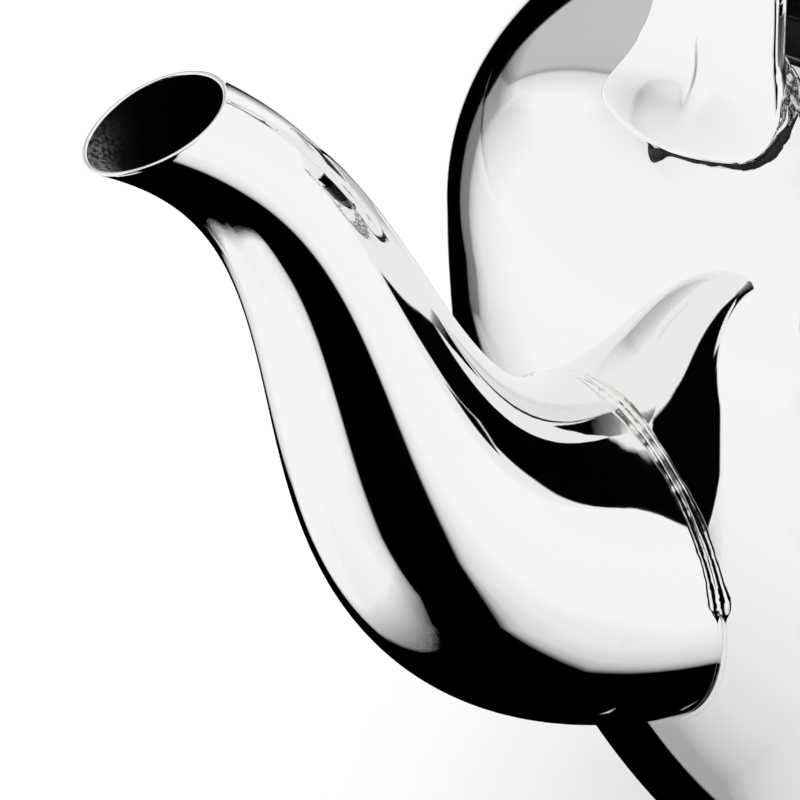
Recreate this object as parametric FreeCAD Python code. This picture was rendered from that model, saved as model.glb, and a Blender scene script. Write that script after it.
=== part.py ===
import FreeCAD, Part
import math
import os

from FreeCAD import Vector

# Silver teapot: raised body on a foot ring, long curved spout, lift-off lid on a safety chain,
# and an overhead bail with a wooden grip that swings between two upright ears.
# Millimetres, +Z up. The origin is on the table under the pot's axis. The spout points to -X.

# Body of raised sheet: an ellipse above its widest plane and a deeper one below it
BODY_R = 62.0
SHOULDER_RISE = 37.7
BELLY_DROP = 89.2
WALL = 1.0
BASE_R = 31.0
BASE_T = 1.2

# Foot ring
FOOT_H = 7.5
FOOT_R = 36.0
FOOT_TREAD = 2.8
FOOT_EDGE = 1.4
FOOT_SEAT = 2.6

# Spout: control points of its centreline (beyond the widest radius, above the widest plane),
# then control values of its half depth in the plane of symmetry and of its half width
SPOUT_PATH = [(-16.5, -22.6), (10.6, -24.0), (34.1, -10.7), (21.3, 16.3), (37.6, 31.3), (53.8, 39.3)]
SPOUT_HALF_DEPTH = [21.4, 17.6, 8.1, 5.9, 5.7]
SPOUT_HALF_WIDTH = [17.9, 12.8, 7.7, 6.9, 5.6]
SPOUT_WALL = 0.8
SPOUT_SECTIONS = 13
MOUTH_OUT = 50.2
MOUTH_UP = 37.3
MOUTH_TILT = 23.0

# Strainer: a pierced plate in the body wall behind the spout
STRAINER_RIM = 2.0
STRAINER_R = 1.4
STRAINER_PITCH = 5.0
STRAINER_ROWS = 5
STRAINER_DROP = 20.0

# Neck collar and lid
SHOULDER_W = 20.2
NECK_STEP = 0.8
NECK_WALL = 1.2
NECK_H = 4.0
NECK_SPIGOT = 2.5
LID_GAP = 0.1
LID_OVERHANG = 0.6
LID_EDGE = 1.2
LID_RISE = 13.0
LID_WALL = 1.0
BEZEL_CLEARANCE = 0.4
BEZEL_WALL = 1.0
BEZEL_DEPTH = 6.0
VENT_R = 1.2
VENT_OUT = 19.0

# Finial and its fixing
FINIAL_R = 8.5
FINIAL_H = 16.0
FINIAL_FOOT_R = 4.2
FINIAL_FLARE = 0.8
FINIAL_COLLAR_R = 6.2
FINIAL_COLLAR_H = 1.5
STUD_R = 1.5
STUD_BITE = 8.0
NUT_ACROSS = 5.5
NUT_H = 2.4

# Ears: flared plates soldered to the shoulder, before and behind the neck
EAR_STANDOFF = 3.8
EAR_T = 1.5
EAR_FOOT_T = 0.9
EAR_FOOT_REACH = 7.2
EAR_KNEE_REACH = 3.1
EAR_SINK = 4.0
EAR_BEND_H = 19.0
EAR_FOOT_HALF = 11.5
EAR_FOOT_CORNER = 2.6
EAR_EYE_R = 6.5
PIVOT_RISE = 20.0

# Bail: forked arms, pivot pins, ferrules, insulating washers and grip
PIN_R = 2.0
PIN_CLEARANCE = 0.05
PIN_HEAD_R = 3.2
PIN_HEAD_T = 1.0
PIN_TAIL = 0.4
FORK_GAP = 0.1
TINE_T = 1.6
FORK_HALF_W = 5.0
FORK_END_ROUND = 1.15
YOKE_CLEARANCE = 1.5
YOKE_H = 3.0
BAIL_RISE = 66.0
ARM_STEP = 0.3
ARM_END_R = 4.6
ARM_ELBOW = 15.1
TENON_R = 4.0
FERRULE_L = 8.0
FERRULE_R = 6.6
FERRULE_STEP = 0.5
WASHER_T = 1.5
WASHER_R = 7.4
GRIP_L = 66.0
GRIP_END_R = 7.0
GRIP_MID_R = 8.6
ROD_R = 2.5
ROD_BITE = 7.0
CROSS_PIN_R = 0.8

# Chain from the front ear to the lid, lying in a loop on the shoulder:
# its azimuths from the spout in degrees, and how far outside the neck it lies at each
CHAIN_AZIMUTHS = [11.5, 15, 21, 28, 36, 44, 51, 57, 61]
CHAIN_OUT = [3.0, 5.0, 7.5, 9.2, 9.8, 9.2, 7.6, 5.2, 3.4]
CHAIN_LIFT = 1.2
CHAIN_LID_AZIMUTH = 66.0
LINK_L = 3.0
LINK_W = 2.0
LINK_WIRE = 0.55
LINK_SLACK = 0.15
EYELET_R = 1.0
EYELET_WIRE = 0.7
EYELET_STANDOFF = 0.8

# Sizes that follow from those above
NECK_R = BODY_R - SHOULDER_W
BASE_DEPTH = BELLY_DROP * math.sqrt(1 - (BASE_R / BODY_R) ** 2)
WIDEST_Z = FOOT_H + BASE_DEPTH
HOLE_R = NECK_R - NECK_STEP
NECK_BORE = HOLE_R - NECK_WALL
NECK_FOOT_Z = WIDEST_Z + SHOULDER_RISE * math.sqrt(1 - (NECK_R / BODY_R) ** 2)
NECK_TOP_Z = NECK_FOOT_Z + NECK_H
LID_R = NECK_R + LID_OVERHANG
LID_Z = NECK_TOP_Z + LID_GAP
BEZEL_R = NECK_BORE - BEZEL_CLEARANCE
DOME_TOP_Z = LID_Z + LID_EDGE + LID_RISE
EAR_X = NECK_R + EAR_STANDOFF
PIVOT_Z = NECK_TOP_Z + PIVOT_RISE
FORK_HALF_T = EAR_T / 2 + FORK_GAP + TINE_T
YOKE_Z = PIVOT_Z + EAR_EYE_R + YOKE_CLEARANCE
FORK_TOP_Z = YOKE_Z + YOKE_H
GRIP_Z = PIVOT_Z + BAIL_RISE
WASHER_X = GRIP_L / 2
FERRULE_X = WASHER_X + WASHER_T
ARM_END_X = FERRULE_X + FERRULE_L
ELBOW_X = ARM_END_X + ARM_ELBOW

SPIN_AXIS = Vector(0, 0, 1)
REACH = 4 * BODY_R


def save(shape, node):
    shape.exportStep("parts/" + node + ".step")


def at(x, z):
    return Vector(x, 0, z)


def line(start, end):
    return Part.LineSegment(start, end).toShape()


def face_of(edges):
    return Part.Face(Part.Wire(Part.__sortEdges__(edges)))


def revolved(edges):
    return face_of(edges).revolve(Vector(0, 0, 0), SPIN_AXIS, 360)


def ring(r_in, r_out, z_low, z_high):
    """A plain turned ring, or a disc when r_in is zero."""
    outer = Part.makeCylinder(r_out, z_high - z_low, at(0, z_low))
    if r_in == 0:
        return outer
    return outer.cut(Part.makeCylinder(r_in, z_high - z_low, at(0, z_low)))


def rod_x(radius, x_from, x_to, z, y=0.0):
    return Part.makeCylinder(radius, x_to - x_from, Vector(x_from, y, z), Vector(1, 0, 0))


def turned_about(shape, angle):
    """The shape turned about the pot's axis."""
    copy = shape.copy()
    copy.rotate(Vector(0, 0, 0), SPIN_AXIS, angle)
    return copy


def ellipse_edge(z_mid, half_r, half_z, r_from, r_to):
    """Part of an ellipse's quarter in the XZ plane, between two radii; half_z below zero is the lower side."""
    side_end = at(half_r, z_mid)
    pole_end = at(0, z_mid + half_z)
    if half_r >= abs(half_z):
        curve = Part.Ellipse(side_end, pole_end, at(0, z_mid))
        ends = [math.acos(r / half_r) for r in (r_from, r_to)]
    else:
        curve = Part.Ellipse(pole_end, side_end, at(0, z_mid))
        ends = [math.asin(r / half_r) for r in (r_from, r_to)]
    return Part.Arc(curve, min(ends), max(ends)).toShape()


def ellipse_z(z_mid, half_r, half_z, r):
    return z_mid + half_z * math.sqrt(1 - (r / half_r) ** 2)


def shoulder_z(r):
    return ellipse_z(WIDEST_Z, BODY_R, SHOULDER_RISE, r)


def body_block(grow):
    """The body's outside as a closed block, moved out by grow."""
    r_wide = BODY_R + grow
    bottom_r = r_wide * BASE_R / BODY_R
    bottom_z = ellipse_z(WIDEST_Z, r_wide, -(BELLY_DROP + grow), bottom_r)
    top_z = WIDEST_Z + SHOULDER_RISE + grow
    return revolved([
        line(at(0, bottom_z), at(bottom_r, bottom_z)),
        ellipse_edge(WIDEST_Z, r_wide, -(BELLY_DROP + grow), bottom_r, r_wide),
        ellipse_edge(WIDEST_Z, r_wide, SHOULDER_RISE + grow, r_wide, 0),
        line(at(0, top_z), at(0, bottom_z)),
    ])


def bezier(values, t):
    """Point of a Bezier curve; values are numbers or vectors."""
    points = list(values)
    while len(points) > 1:
        points = [a * (1 - t) + b * t for a, b in zip(points, points[1:])]
    return points[0]


def section(centre, across, along_y, half_across, power=2.0, count=20):
    """Closed smooth section: a superellipse around centre, in the plane of across and the Y axis."""
    points = []
    for i in range(count):
        angle = 2 * math.pi * i / count
        c, s = math.cos(angle), math.sin(angle)
        u = math.copysign(abs(c) ** (2 / power), c) * half_across
        v = math.copysign(abs(s) ** (2 / power), s) * along_y
        points.append(centre + across * u + Vector(0, v, 0))
    curve = Part.BSplineCurve()
    curve.interpolate(points, PeriodicFlag=True)
    return Part.Wire(curve.toShape())


def path_frame(path, t):
    """Point on a planar Bezier path and the unit vector across it in the XZ plane."""
    step = 1e-4
    tangent = (bezier(path, t + step) - bezier(path, t - step)).normalize()
    return bezier(path, t), Vector(-tangent.z, 0, tangent.x)


# Body shell, open at the neck, the base and the strainer's seat behind the spout
def strainer_seat():
    """Room of the strainer: a round cut through the front of the shell."""
    seat_r = STRAINER_PITCH * (STRAINER_ROWS - 1) / 2 + STRAINER_R + STRAINER_RIM
    return rod_x(seat_r, -REACH, 0, WIDEST_Z - STRAINER_DROP)


def strainer_drills():
    drills = []
    mid = (STRAINER_ROWS - 1) / 2
    for row in range(STRAINER_ROWS):
        count = STRAINER_ROWS - abs(row - int(mid))
        height = WIDEST_Z - STRAINER_DROP + (row - mid) * STRAINER_PITCH * math.sqrt(3) / 2
        for i in range(count):
            y = (i - (count - 1) / 2) * STRAINER_PITCH
            drills.append(rod_x(STRAINER_R, -REACH, 0, height, y))
    return drills


def shell_blank():
    in_r, in_rise, in_drop = BODY_R - WALL, SHOULDER_RISE - WALL, BELLY_DROP - WALL
    base_in_r = in_r * math.sqrt(1 - (BASE_DEPTH / in_drop) ** 2)
    return revolved([
        ellipse_edge(WIDEST_Z, BODY_R, -BELLY_DROP, BASE_R, BODY_R),
        ellipse_edge(WIDEST_Z, BODY_R, SHOULDER_RISE, BODY_R, HOLE_R),
        line(at(HOLE_R, shoulder_z(HOLE_R)), at(HOLE_R, ellipse_z(WIDEST_Z, in_r, in_rise, HOLE_R))),
        ellipse_edge(WIDEST_Z, in_r, in_rise, HOLE_R, in_r),
        ellipse_edge(WIDEST_Z, in_r, -in_drop, in_r, base_in_r),
        line(at(base_in_r, FOOT_H), at(BASE_R, FOOT_H)),
    ])


def body_shell():
    return shell_blank().cut(strainer_seat())


# Strainer: a round of the same sheet, pierced and set in its seat
def strainer():
    return shell_blank().common(strainer_seat()).cut(Part.makeCompound(strainer_drills()))


# Base plate, set inside the bottom edge of the shell
def base_plate():
    in_r, in_drop = BODY_R - WALL, BELLY_DROP - WALL
    low_r = in_r * math.sqrt(1 - (BASE_DEPTH / in_drop) ** 2)
    high_r = in_r * math.sqrt(1 - ((BASE_DEPTH - BASE_T) / in_drop) ** 2)
    return revolved([
        line(at(0, FOOT_H), at(low_r, FOOT_H)),
        ellipse_edge(WIDEST_Z, in_r, -in_drop, low_r, high_r),
        line(at(high_r, FOOT_H + BASE_T), at(0, FOOT_H + BASE_T)),
        line(at(0, FOOT_H + BASE_T), at(0, FOOT_H)),
    ])


# Foot ring with a hollow sweep, standing on its tread
def foot_ring():
    top_out = BASE_R + WALL / 2
    top_in = top_out - FOOT_SEAT
    tread_in = FOOT_R - FOOT_TREAD

    def sweep(r_top, r_low):
        z_mid = (FOOT_H + FOOT_EDGE) / 2
        bend = at(r_top * 0.7 + r_low * 0.3, z_mid)
        return Part.Arc(at(r_top, FOOT_H), bend, at(r_low, FOOT_EDGE)).toShape()

    return revolved([
        line(at(top_in, FOOT_H), at(top_out, FOOT_H)),
        sweep(top_out, FOOT_R),
        line(at(FOOT_R, FOOT_EDGE), at(FOOT_R, 0)),
        line(at(FOOT_R, 0), at(tread_in, 0)),
        line(at(tread_in, 0), at(tread_in, FOOT_EDGE)),
        sweep(top_in, tread_in),
    ])


# Spout: a hollow tube of oval sections, cut slantwise at the mouth and fitted to the body
def spout_tube(inset, overrun):
    path = [at(-(BODY_R + out), WIDEST_Z + up) for out, up in SPOUT_PATH]
    t_low, t_high = -overrun, 1 + 2 * overrun
    wires = []
    for i in range(SPOUT_SECTIONS):
        t = t_low + (t_high - t_low) * i / (SPOUT_SECTIONS - 1)
        centre, across = path_frame(path, t)
        half_depth = bezier(SPOUT_HALF_DEPTH, t) - inset
        half_width = bezier(SPOUT_HALF_WIDTH, t) - inset
        wires.append(section(centre, across, half_width, half_depth))
    return Part.makeLoft(wires, True, False)


def spout():
    mouth_room = Part.makeBox(REACH, REACH, REACH, Vector(-REACH / 2, -REACH / 2, 0))
    mouth_room.rotate(Vector(0, 0, 0), Vector(0, 1, 0), -MOUTH_TILT)
    mouth_room.translate(at(-(BODY_R + MOUTH_OUT), WIDEST_Z + MOUTH_UP))
    solid = spout_tube(0, 0.05).cut(mouth_room)
    return solid.cut(spout_tube(SPOUT_WALL, 0.07)).cut(body_block(0))


# Neck collar: a spigot through the shell's hole and a wall that stands on the shoulder
def neck_collar():
    spigot = ring(NECK_BORE, HOLE_R, shoulder_z(HOLE_R) - WALL - NECK_SPIGOT, NECK_TOP_Z)
    wall = ring(HOLE_R, NECK_R, NECK_FOOT_Z - NECK_STEP, NECK_TOP_Z)
    return spigot.fuse(wall.cut(body_block(0))).removeSplitter()


# Lid dome with its flat rim, vent and stud hole
def lid_dome():
    rim_z = LID_Z + LID_EDGE
    in_r, in_rise = LID_R - LID_WALL, LID_RISE - LID_WALL
    seat_r = BEZEL_R - BEZEL_WALL
    dome = revolved([
        line(at(seat_r, LID_Z), at(LID_R, LID_Z)),
        line(at(LID_R, LID_Z), at(LID_R, rim_z)),
        ellipse_edge(rim_z, LID_R, LID_RISE, LID_R, STUD_R),
        line(at(STUD_R, ellipse_z(rim_z, LID_R, LID_RISE, STUD_R)),
             at(STUD_R, ellipse_z(rim_z, in_r, in_rise, STUD_R))),
        ellipse_edge(rim_z, in_r, in_rise, STUD_R, in_r),
        line(at(in_r, rim_z), at(seat_r, rim_z)),
        line(at(seat_r, rim_z), at(seat_r, LID_Z)),
    ])
    vent = Part.makeCylinder(VENT_R, 2 * LID_RISE, Vector(0, VENT_OUT, LID_Z))
    return dome.cut(vent)


# Lid bezel: the ring that keeps the lid in the neck
def lid_bezel():
    return ring(BEZEL_R - BEZEL_WALL, BEZEL_R, LID_Z - BEZEL_DEPTH, LID_Z)


# Finial: turned wooden knob on a silver collar, held by a stud and a nut
def finial_collar():
    disc = ring(STUD_R, FINIAL_COLLAR_R, DOME_TOP_Z - FINIAL_COLLAR_H, DOME_TOP_Z + FINIAL_COLLAR_H)
    disc = disc.cut(ellipse_room(LID_Z + LID_EDGE, LID_R, LID_RISE))
    top_edges = [e for e in disc.Edges if abs(e.BoundBox.ZMin - DOME_TOP_Z - FINIAL_COLLAR_H) < 1e-6]
    outer = [e for e in top_edges if e.BoundBox.XLength > FINIAL_COLLAR_R]
    return disc.makeFillet(FINIAL_COLLAR_H / 3, outer)


def ellipse_room(z_mid, half_r, half_z):
    """Everything under a domed surface."""
    return revolved([
        ellipse_edge(z_mid, half_r, half_z, half_r, 0),
        line(at(0, z_mid + half_z), at(0, z_mid)),
        line(at(0, z_mid), at(half_r, z_mid)),
    ])


def finial():
    low = DOME_TOP_Z + FINIAL_COLLAR_H
    ball_z = low + FINIAL_H - FINIAL_R
    neck_z = low + (FINIAL_H - FINIAL_R) * 0.35
    hip = at(FINIAL_R, ball_z)
    waist = Part.BSplineCurve()
    waist.interpolate([at(FINIAL_FOOT_R + FINIAL_FLARE, low), at(FINIAL_FOOT_R, neck_z), hip],
                      InitialTangent=Vector(-1, 0, 1), FinalTangent=Vector(0, 0, 1))
    crown = Part.Arc(hip, at(FINIAL_R * math.sqrt(0.5), ball_z + FINIAL_R * math.sqrt(0.5)),
                     at(0, ball_z + FINIAL_R)).toShape()
    knob = revolved([
        line(at(0, low), at(FINIAL_FOOT_R + FINIAL_FLARE, low)),
        waist.toShape(),
        crown,
        line(at(0, ball_z + FINIAL_R), at(0, low)),
    ])
    return knob.cut(ring(0, STUD_R, low, low + STUD_BITE))


def finial_stud():
    dome_low = LID_Z + LID_EDGE + LID_RISE - LID_WALL
    return ring(0, STUD_R, dome_low - NUT_H - STUD_R / 2, DOME_TOP_Z + FINIAL_COLLAR_H + STUD_BITE)


def finial_nut():
    rim_z = LID_Z + LID_EDGE
    corner = NUT_ACROSS / math.sqrt(3)
    top = ellipse_z(rim_z, LID_R - LID_WALL, LID_RISE - LID_WALL, corner)
    angles = [math.radians(60 * i) for i in range(7)]
    outline = Part.makePolygon([Vector(corner * math.cos(a), corner * math.sin(a), top - NUT_H) for a in angles])
    nut = Part.Face(outline).extrude(Vector(0, 0, NUT_H))
    return nut.cut(ring(0, STUD_R, top - NUT_H, top))


# Ears: a foot pad that follows the shoulder, a knee, and an upright strap with a round eye
def ear_outline():
    low = shoulder_z(EAR_X + EAR_FOOT_REACH)
    corner_z = low + EAR_FOOT_CORNER
    heel_y, heel_z = EAR_FOOT_HALF * 0.83, low + EAR_FOOT_CORNER * 0.34
    turn_y, turn_z = EAR_FOOT_HALF * 0.965, low + EAR_FOOT_CORNER * 0.58
    strap = PIVOT_Z - corner_z

    def flank(side):
        curve = Part.BSplineCurve()
        rise = [(EAR_FOOT_HALF, 0), (EAR_FOOT_HALF * 0.85, 0.17), (EAR_EYE_R * 1.32, 0.33), (EAR_EYE_R, 1)]
        points = [Vector(0, side * half, corner_z + strap * share) for half, share in rise]
        curve.interpolate(points, InitialTangent=Vector(0, 0, 1), FinalTangent=Vector(0, 0, 1))
        return curve.toShape()

    def heel(side):
        return Part.Arc(Vector(0, side * EAR_FOOT_HALF, corner_z), Vector(0, side * turn_y, turn_z),
                        Vector(0, side * heel_y, heel_z)).toShape()

    sole = Part.Arc(Vector(0, heel_y, heel_z), Vector(0, 0, low), Vector(0, -heel_y, heel_z)).toShape()
    eye = Part.Arc(Vector(0, EAR_EYE_R, PIVOT_Z), Vector(0, 0, PIVOT_Z + EAR_EYE_R),
                   Vector(0, -EAR_EYE_R, PIVOT_Z)).toShape()
    return face_of([sole, heel(1), heel(-1), flank(1), flank(-1), eye])


def ear_knee():
    """Where the middle of the plate ends, under the shoulder's surface."""
    knee_r = EAR_X + EAR_KNEE_REACH
    return at(-knee_r, shoulder_z(knee_r) - EAR_SINK)


def ear_plate_x(z):
    """Middle of the bent plate at a height: a parabola from the knee to the upright."""
    share = min((z - ear_knee().z) / EAR_BEND_H, 1)
    return -EAR_X - EAR_KNEE_REACH * (1 - share) ** 2


def ear_strap():
    """The bent plate's side profile, drawn across the whole width; its lower end runs into the shoulder."""
    knee = ear_knee()
    upright = at(-EAR_X, knee.z + EAR_BEND_H)
    path = [knee, at(upright.x, (knee.z + upright.z) / 2), upright]
    sides = []
    for half in (EAR_T / 2, -EAR_T / 2):
        points = []
        for i in range(7):
            centre, across = path_frame(path, i / 6)
            points.append(centre + across * half)
        curve = Part.BSplineCurve()
        curve.interpolate(points)
        sides.append((curve.toShape(), points[0], points[-1]))
    (outer, outer_low, outer_high), (inner, inner_low, inner_high) = sides
    top_z = PIVOT_Z + 2 * EAR_EYE_R
    profile = face_of([
        outer,
        line(outer_high, at(outer_high.x, top_z)),
        line(at(outer_high.x, top_z), at(inner_high.x, top_z)),
        line(at(inner_high.x, top_z), inner_high),
        inner,
        line(inner_low, outer_low),
    ])
    profile.translate(Vector(0, -2 * EAR_FOOT_HALF, 0))
    return profile.extrude(Vector(0, 4 * EAR_FOOT_HALF, 0))


def ear():
    outline = ear_outline()
    outline.translate(at(-BODY_R - 2 * EAR_FOOT_T, 0))
    window = outline.extrude(Vector(BODY_R, 0, 0))
    pad_in = EAR_X + EAR_KNEE_REACH * 0.7
    pad_room = Part.makeBox(BODY_R, 4 * EAR_FOOT_HALF, BODY_R,
                            Vector(-BODY_R - pad_in, -2 * EAR_FOOT_HALF, WIDEST_Z))
    pad = body_block(EAR_FOOT_T).common(pad_room)
    blank = ear_strap().fuse(pad).cut(body_block(0))
    return blank.common(window).cut(rod_x(PIN_R + PIN_CLEARANCE, -REACH, 0, PIVOT_Z))


# Bail arm: a fork over the ear, then a bowed arm that turns into the ferrule
def bail_arm():
    end_r = FORK_HALF_W * FORK_END_ROUND
    block = Part.makeBox(2 * FORK_HALF_T, 2 * FORK_HALF_W, FORK_TOP_Z - PIVOT_Z + end_r,
                         Vector(-EAR_X - FORK_HALF_T, -FORK_HALF_W, PIVOT_Z - end_r))
    uprights = [e for e in block.Edges if e.BoundBox.ZLength > end_r]
    fork = block.makeFillet(TINE_T * 0.8, uprights)
    waste = Part.makeBox(4 * FORK_HALF_T, 4 * end_r, 2 * end_r,
                         Vector(-EAR_X - 2 * FORK_HALF_T, -2 * end_r, PIVOT_Z - 2 * end_r))
    fork = fork.cut(waste.cut(rod_x(end_r, -REACH, 0, PIVOT_Z)))
    path = [
        at(-EAR_X, FORK_TOP_Z - YOKE_H / 2),
        at(-EAR_X * 0.7 - ELBOW_X * 0.3, FORK_TOP_Z + BAIL_RISE * 0.3),
        at(-ELBOW_X, GRIP_Z),
        at(-ARM_END_X, GRIP_Z),
    ]
    wires = []
    steps = 7
    for i in range(steps + 1):
        t = i / steps
        centre, across = path_frame(path, t)
        half_t = (FORK_HALF_T - ARM_STEP) * (1 - t) + ARM_END_R * t
        half_w = (FORK_HALF_W - ARM_STEP) * (1 - t) + ARM_END_R * t
        wires.append(section(centre, across, half_w, half_t, 3.0 - t))
    arm = fork.fuse(Part.makeLoft(wires, True, False))
    arm = arm.fuse(rod_x(TENON_R, -ARM_END_X - TENON_R / 2, -FERRULE_X, GRIP_Z))
    slot_half = EAR_T / 2 + FORK_GAP
    slot = Part.makeBox(2 * slot_half, 4 * FORK_HALF_W, YOKE_Z - PIVOT_Z + 2 * FORK_HALF_W,
                        Vector(-EAR_X - slot_half, -2 * FORK_HALF_W, PIVOT_Z - 2 * FORK_HALF_W))
    arm = arm.cut(slot)
    arm = arm.cut(rod_x(PIN_R, -REACH, 0, PIVOT_Z))
    arm = arm.cut(rod_x(ROD_R, -FERRULE_X - ROD_BITE, 0, GRIP_Z))
    return arm.cut(cross_pin())


def cross_pin():
    """Pin through ferrule, tenon and rod, on the front side."""
    x = -FERRULE_X - FERRULE_L / 2
    return Part.makeCylinder(CROSS_PIN_R, 2 * ferrule_r(0.5), at(x, GRIP_Z - ferrule_r(0.5)))


def ferrule_r(share):
    """Outer radius of the ferrule, from the washer (0) to the arm (1)."""
    return FERRULE_R + (ARM_END_R + FERRULE_STEP - FERRULE_R) * share


def pivot_pin():
    outside = -EAR_X - FORK_HALF_T
    shaft = rod_x(PIN_R, outside, -EAR_X + FORK_HALF_T + PIN_TAIL, PIVOT_Z)
    head = rod_x(PIN_HEAD_R, outside - PIN_HEAD_T, outside, PIVOT_Z)
    rim = [e for e in head.Edges if e.BoundBox.XMax < outside - PIN_HEAD_T / 2]
    return shaft.fuse(head.makeFillet(PIN_HEAD_T * 0.7, rim)).removeSplitter()


def ferrule():
    cone = Part.makeCone(ferrule_r(1), ferrule_r(0), FERRULE_L, at(-ARM_END_X, GRIP_Z), Vector(1, 0, 0))
    return cone.cut(rod_x(TENON_R, -ARM_END_X, -FERRULE_X, GRIP_Z)).cut(cross_pin())


def washer():
    disc = rod_x(WASHER_R, -FERRULE_X, -WASHER_X, GRIP_Z)
    return disc.cut(rod_x(ROD_R, -FERRULE_X, -WASHER_X, GRIP_Z))


# Grip: a barrel of dark wood on a steel rod
def grip():
    half = GRIP_L / 2
    swell = Part.Arc(at(-half, GRIP_Z + GRIP_END_R), at(0, GRIP_Z + GRIP_MID_R), at(half, GRIP_Z + GRIP_END_R))
    profile = face_of([
        swell.toShape(),
        line(at(half, GRIP_Z + GRIP_END_R), at(half, GRIP_Z + ROD_R)),
        line(at(half, GRIP_Z + ROD_R), at(-half, GRIP_Z + ROD_R)),
        line(at(-half, GRIP_Z + ROD_R), at(-half, GRIP_Z + GRIP_END_R)),
    ])
    return profile.revolve(at(0, GRIP_Z), Vector(1, 0, 0), 360)


def grip_rod():
    end = FERRULE_X + ROD_BITE
    rod = rod_x(ROD_R, -end, end, GRIP_Z)
    return rod.cut(cross_pin()).cut(turned_about(cross_pin(), 180))


# Chain: links placed along a route that leaves the ear, lies on the shoulder and rises to the lid
def around(azimuth, r, z):
    angle = math.radians(azimuth)
    return Vector(-r * math.cos(angle), -r * math.sin(angle), z)


def on_shoulder(azimuth, out, lift):
    r = NECK_R + out
    z = shoulder_z(r)
    normal = at(r / BODY_R ** 2, (z - WIDEST_Z) / SHOULDER_RISE ** 2).normalize()
    return around(azimuth, r + normal.x * lift, z + normal.z * lift)


def ear_eyelet_at():
    z = NECK_FOOT_Z + EYELET_R + EYELET_WIRE
    return Vector(ear_plate_x(z) + EAR_T / 2 + EYELET_STANDOFF, -EAR_EYE_R, z)


def lid_eyelet_at():
    r = LID_R - 3 * EYELET_WIRE
    z = ellipse_z(LID_Z + LID_EDGE, LID_R, LID_RISE, r)
    normal = at(r / LID_R ** 2, (z - LID_Z - LID_EDGE) / LID_RISE ** 2).normalize()
    return around(CHAIN_LID_AZIMUTH, r + normal.x * EYELET_STANDOFF, z + normal.z * EYELET_STANDOFF)


def chain_route():
    clear_r = LID_R + LINK_W
    points = [ear_eyelet_at()]
    points += [on_shoulder(azimuth, out, CHAIN_LIFT) for azimuth, out in zip(CHAIN_AZIMUTHS, CHAIN_OUT)]
    points.append(around(CHAIN_LID_AZIMUTH - 3, clear_r, NECK_TOP_Z - NECK_H / 4))
    points.append(around(CHAIN_LID_AZIMUTH - 1.5, clear_r, LID_Z + 2 * LID_EDGE))
    points.append(lid_eyelet_at())
    curve = Part.BSplineCurve()
    curve.interpolate(points)
    return curve


def link_frames():
    """Centre, direction and side of each link; the side is carried along so that links alternate."""
    route = chain_route()
    pitch = LINK_L - 2 * LINK_WIRE - LINK_SLACK
    lead = (LINK_L - LINK_WIRE) / 2
    count = int((route.length() - 2 * lead) / pitch) + 1
    pitch = (route.length() - 2 * lead) / (count - 1)
    frames = []
    side = None
    for i in range(count):
        t = route.parameterAtDistance(lead + i * pitch)
        direction = Vector(*route.tangent(t)[0])
        if side is None:
            side = direction.cross(Vector(1, 0, 0))
        side = (side - direction * side.dot(direction)).normalize()
        flat = side if i % 2 == 0 else direction.cross(side)
        frames.append((route.value(t), direction, flat))
    return frames


def oriented(shape, centre, direction, side):
    """The shape with its X axis turned to direction and its Y axis to side."""
    normal = direction.cross(side)
    matrix = FreeCAD.Matrix(direction.x, side.x, normal.x, centre.x,
                            direction.y, side.y, normal.y, centre.y,
                            direction.z, side.z, normal.z, centre.z,
                            0, 0, 0, 1)
    copy = shape.copy()
    copy.Placement = FreeCAD.Placement(matrix)
    return copy


def link():
    wire = LINK_WIRE / 2
    bend = LINK_W / 2 - wire
    half = (LINK_L - LINK_W) / 2
    pieces = []
    for end in (1, -1):
        arc = Part.makeTorus(bend, wire, Vector(0, 0, 0), Vector(0, 0, 1), -180, 180, 180)
        arc.rotate(Vector(0, 0, 0), Vector(0, 0, 1), -90 * end)
        arc.translate(Vector(end * half, 0, 0))
        pieces.append(arc)
        pieces.append(Part.makeCylinder(wire, 2 * half, Vector(-half, end * bend, 0), Vector(1, 0, 0)))
    return pieces[0].multiFuse(pieces[1:]).removeSplitter()


def lid_chain():
    one = link()
    return Part.makeCompound([oriented(one, *frame) for frame in link_frames()])


def eyelet(frame, centre):
    """Round wire eye that the link in frame passes through."""
    _, direction, side = frame
    torus = Part.makeTorus(EYELET_R, EYELET_WIRE / 2)
    return oriented(torus, centre, direction, direction.cross(side))


os.makedirs("parts", exist_ok=True)

front_ear = ear()
dome = lid_dome()
frames = link_frames()
print("chain links", len(frames), "length", round(chain_route().length(), 1))

save(body_shell(), "body_shell")
save(strainer(), "strainer")
save(base_plate(), "base_plate")
save(foot_ring(), "foot_ring")
save(spout(), "spout")
save(neck_collar(), "neck_collar")
save(front_ear, "front_ear")
save(turned_about(front_ear, 180), "rear_ear")
save(eyelet(frames[0], ear_eyelet_at()).cut(front_ear), "ear_eyelet")
save(lid_chain(), "lid_chain")

save(dome, "lid_dome")
save(lid_bezel(), "lid_bezel")
save(eyelet(frames[-1], lid_eyelet_at()).cut(dome), "lid_eyelet")
save(finial_collar(), "finial_collar")
save(finial(), "finial")
save(finial_stud(), "finial_stud")
save(finial_nut(), "finial_nut")

for piece, name in ((bail_arm(), "bail_arm"), (pivot_pin(), "pivot_pin"),
                    (ferrule(), "ferrule"), (washer(), "washer")):
    save(piece, "front_" + name)
    save(turned_about(piece, 180), "rear_" + name)
save(grip(), "grip")
save(grip_rod(), "grip_rod")
save(Part.makeCompound([cross_pin(), turned_about(cross_pin(), 180)]), "grip_pins")
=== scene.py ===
import math

import bmesh
import bpy
from mathutils import Matrix, Vector


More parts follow.
